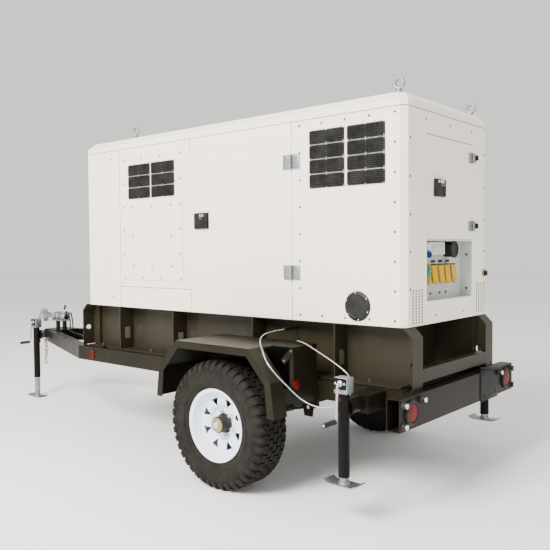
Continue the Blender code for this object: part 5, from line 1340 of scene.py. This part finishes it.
marker.data.transform(shift(*MARK) @ Matrix.Diagonal((0.78, 1, 1.25, 1)) @ shift(*(-v for v in MARK)))
pair(marker, "side_marker", red_lens, BOTH, "lamp_lens")
seat = spun("seat", MARK, [(0.0, -0.5762), (0.034, -0.5762), (0.034, -0.5785), (0.0, -0.5785)], "Y", 36,
            False)
seat.data.transform(shift(*MARK) @ Matrix.Diagonal((0.78, 1, 1.25, 1)) @ shift(*(-v for v in MARK)))
pair(seat, "marker_seat", hose_rubber, BOTH, "black_plastic")
BACK_X = AXLE.x + 0.470
eye_spot = spun("reflector", (BACK_X, -0.775, 0.660), [(0.0, BACK_X + 0.0003), (0.027, BACK_X + 0.0003),
                                                      (0.027, BACK_X + 0.005), (0.023, BACK_X + 0.007),
                                                      (0.0, BACK_X + 0.0075)], "X", 36, False)
pair(eye_spot, "step_reflector", red_lens, BOTH, "lamp_lens")
stay = pressed("stay", [(AXLE.x + 0.4690, 0.868), (AXLE.x + 0.4690, 0.836), (AXLE.x + 0.4025, 0.7715),
                        (AXLE.x + 0.3785, 0.7980), (AXLE.x + 0.4450, 0.868)], -0.8045, -0.8005, "Y", 0.001)
tie = block("tie", (AXLE.x + 0.4700, -0.900, 0.565), (AXLE.x + 0.4735, -0.795, 0.652), 0.001)
stay = joined("stay", [stay, tie])
pair(stay, "mudguard_stay", chassis_paint, BOTH, "chassis_paint")
guard_bolts = repeated("guard_bolts", screw(0.0085, 0.006),
                       [shift(AXLE.x + x, -0.8048, z) for x, z in ((0.455, 0.853), (0.403, 0.793))])
pair(guard_bolts, "stay_bolts", dark_steel, BOTH, "zinc")
print("frame fittings placed")

# %% Eye bolts on the roof
ROOF = 2.295
eye_ring = spun("eye_ring", (0, 0, 0), [(0.0270 + 0.0094 * math.cos(a), 0.0094 * math.sin(a))
                                        for a in [2 * math.pi * i / 14 for i in range(14)]], "Y", 40)
eye_ring.data.transform(shift(z=ROOF + 0.052))
neck = spun("neck", (0, 0, 0), [(0.0, ROOF + 0.0002), (0.0210, ROOF + 0.0002), (0.0215, ROOF + 0.010),
                                (0.0190, ROOF + 0.0135), (0.0135, ROOF + 0.0165), (0.0120, ROOF + 0.0240),
                                (0.0, ROOF + 0.0245)], "Z", 28, False)
eyes = repeated("eyes", joined("eye", [eye_ring, neck]),
                [shift(REAR + x, y) for x in (-0.080, -2.380) for y in (-0.46, 0.46)])
done(eyes, galvanised, "chassis", "zinc")
print("4 eye bolts")

# %% Leaf springs and U-bolts
SEAT_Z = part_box("axle_beam")[1][2]
END_Z = 0.478


def leaf(half, lift, thick, y0, y1):
    """One leaf: a shallow parabola with its thickness."""
    line = [(AXLE.x + half * t, SEAT_Z + 0.0004 + lift + (END_Z - SEAT_Z) * (half * t / 0.4) ** 2)
            for t in [i / 12 - 1 for i in range(25)]]
    return pressed("leaf", line + [(x, z + thick) for x, z in line[::-1]], y0, y1, "Y")


leaves = [leaf(0.400, 0.0, 0.0085, -0.566, -0.515), leaf(0.330, 0.0088, 0.0070, -0.565, -0.516),
          leaf(0.240, 0.0161, 0.0070, -0.565, -0.516), leaf(0.150, 0.0234, 0.0075, -0.565, -0.516)]
for end in (-1, 1):
    leaves.append(disc("eye", (AXLE.x + end * 0.400, -0.5405, END_Z + 0.007), 0.0195, 0.0505, "Y", 0.001,
                       28))
    leaves.append(block("clip", (AXLE.x + end * 0.235 - 0.012, -0.5685, SEAT_Z + 0.010),
                        (AXLE.x + end * 0.235 + 0.012, -0.5125, SEAT_Z + 0.042), 0.003, 2))
spring = settle(joined("spring", leaves))
spring_right = copied(spring, MIRROR)
for piece, side in ((spring, "left"), (spring_right, "right")):
    piece.name = "spring_pack_" + side
    alone(piece)
    bpy.ops.object.shade_smooth_by_angle(angle=math.radians(35))
    piece.data.materials.append(dark_steel)
    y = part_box("leaf_spring_" + side)[0][1]
    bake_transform(piece)
    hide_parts("leaf_spring_" + side)
clamps = [block("cap_plate", (AXLE.x - 0.055, -0.582, SEAT_Z + 0.0315),
                (AXLE.x + 0.055, -0.500, SEAT_Z + 0.0395), 0.002, 2)]
for x in (-0.038, 0.038):
    clamps.append(pipe("u_bolt",
                       [(AXLE.x + x, -0.5745, SEAT_Z + 0.052), (AXLE.x + x, -0.5745, AXLE.z - 0.030),
                                  (AXLE.x + x, -0.566, AXLE.z - 0.0375),
                        (AXLE.x + x, -0.514, AXLE.z - 0.0375),
                                  (AXLE.x + x, -0.5055, AXLE.z - 0.030),
                        (AXLE.x + x, -0.5055, SEAT_Z + 0.052)], 0.0052, 3))
    for y in (-0.5745, -0.5055):
        clamps.append(disc("u_nut", (AXLE.x + x, y, SEAT_Z + 0.0435), 0.0098, 0.009, "Z", 0.001, 6))
pair(joined("u_bolts", clamps), "spring_u_bolts", zinc_plate, ("axle", "axle"), "zinc")
hanger_bolts = repeated("hanger_bolts", screw(0.0125, 0.0090),
                        [shift(AXLE.x + x, -0.5753, 0.485) for x in (-0.4, 0.4)])
pair(hanger_bolts, "hanger_bolts", zinc_plate, BOTH, "zinc")
print("springs from z", round(SEAT_Z, 3), "to", END_Z)

# %% [markdown]
# ## Finish

# %% Finish
print("finished")
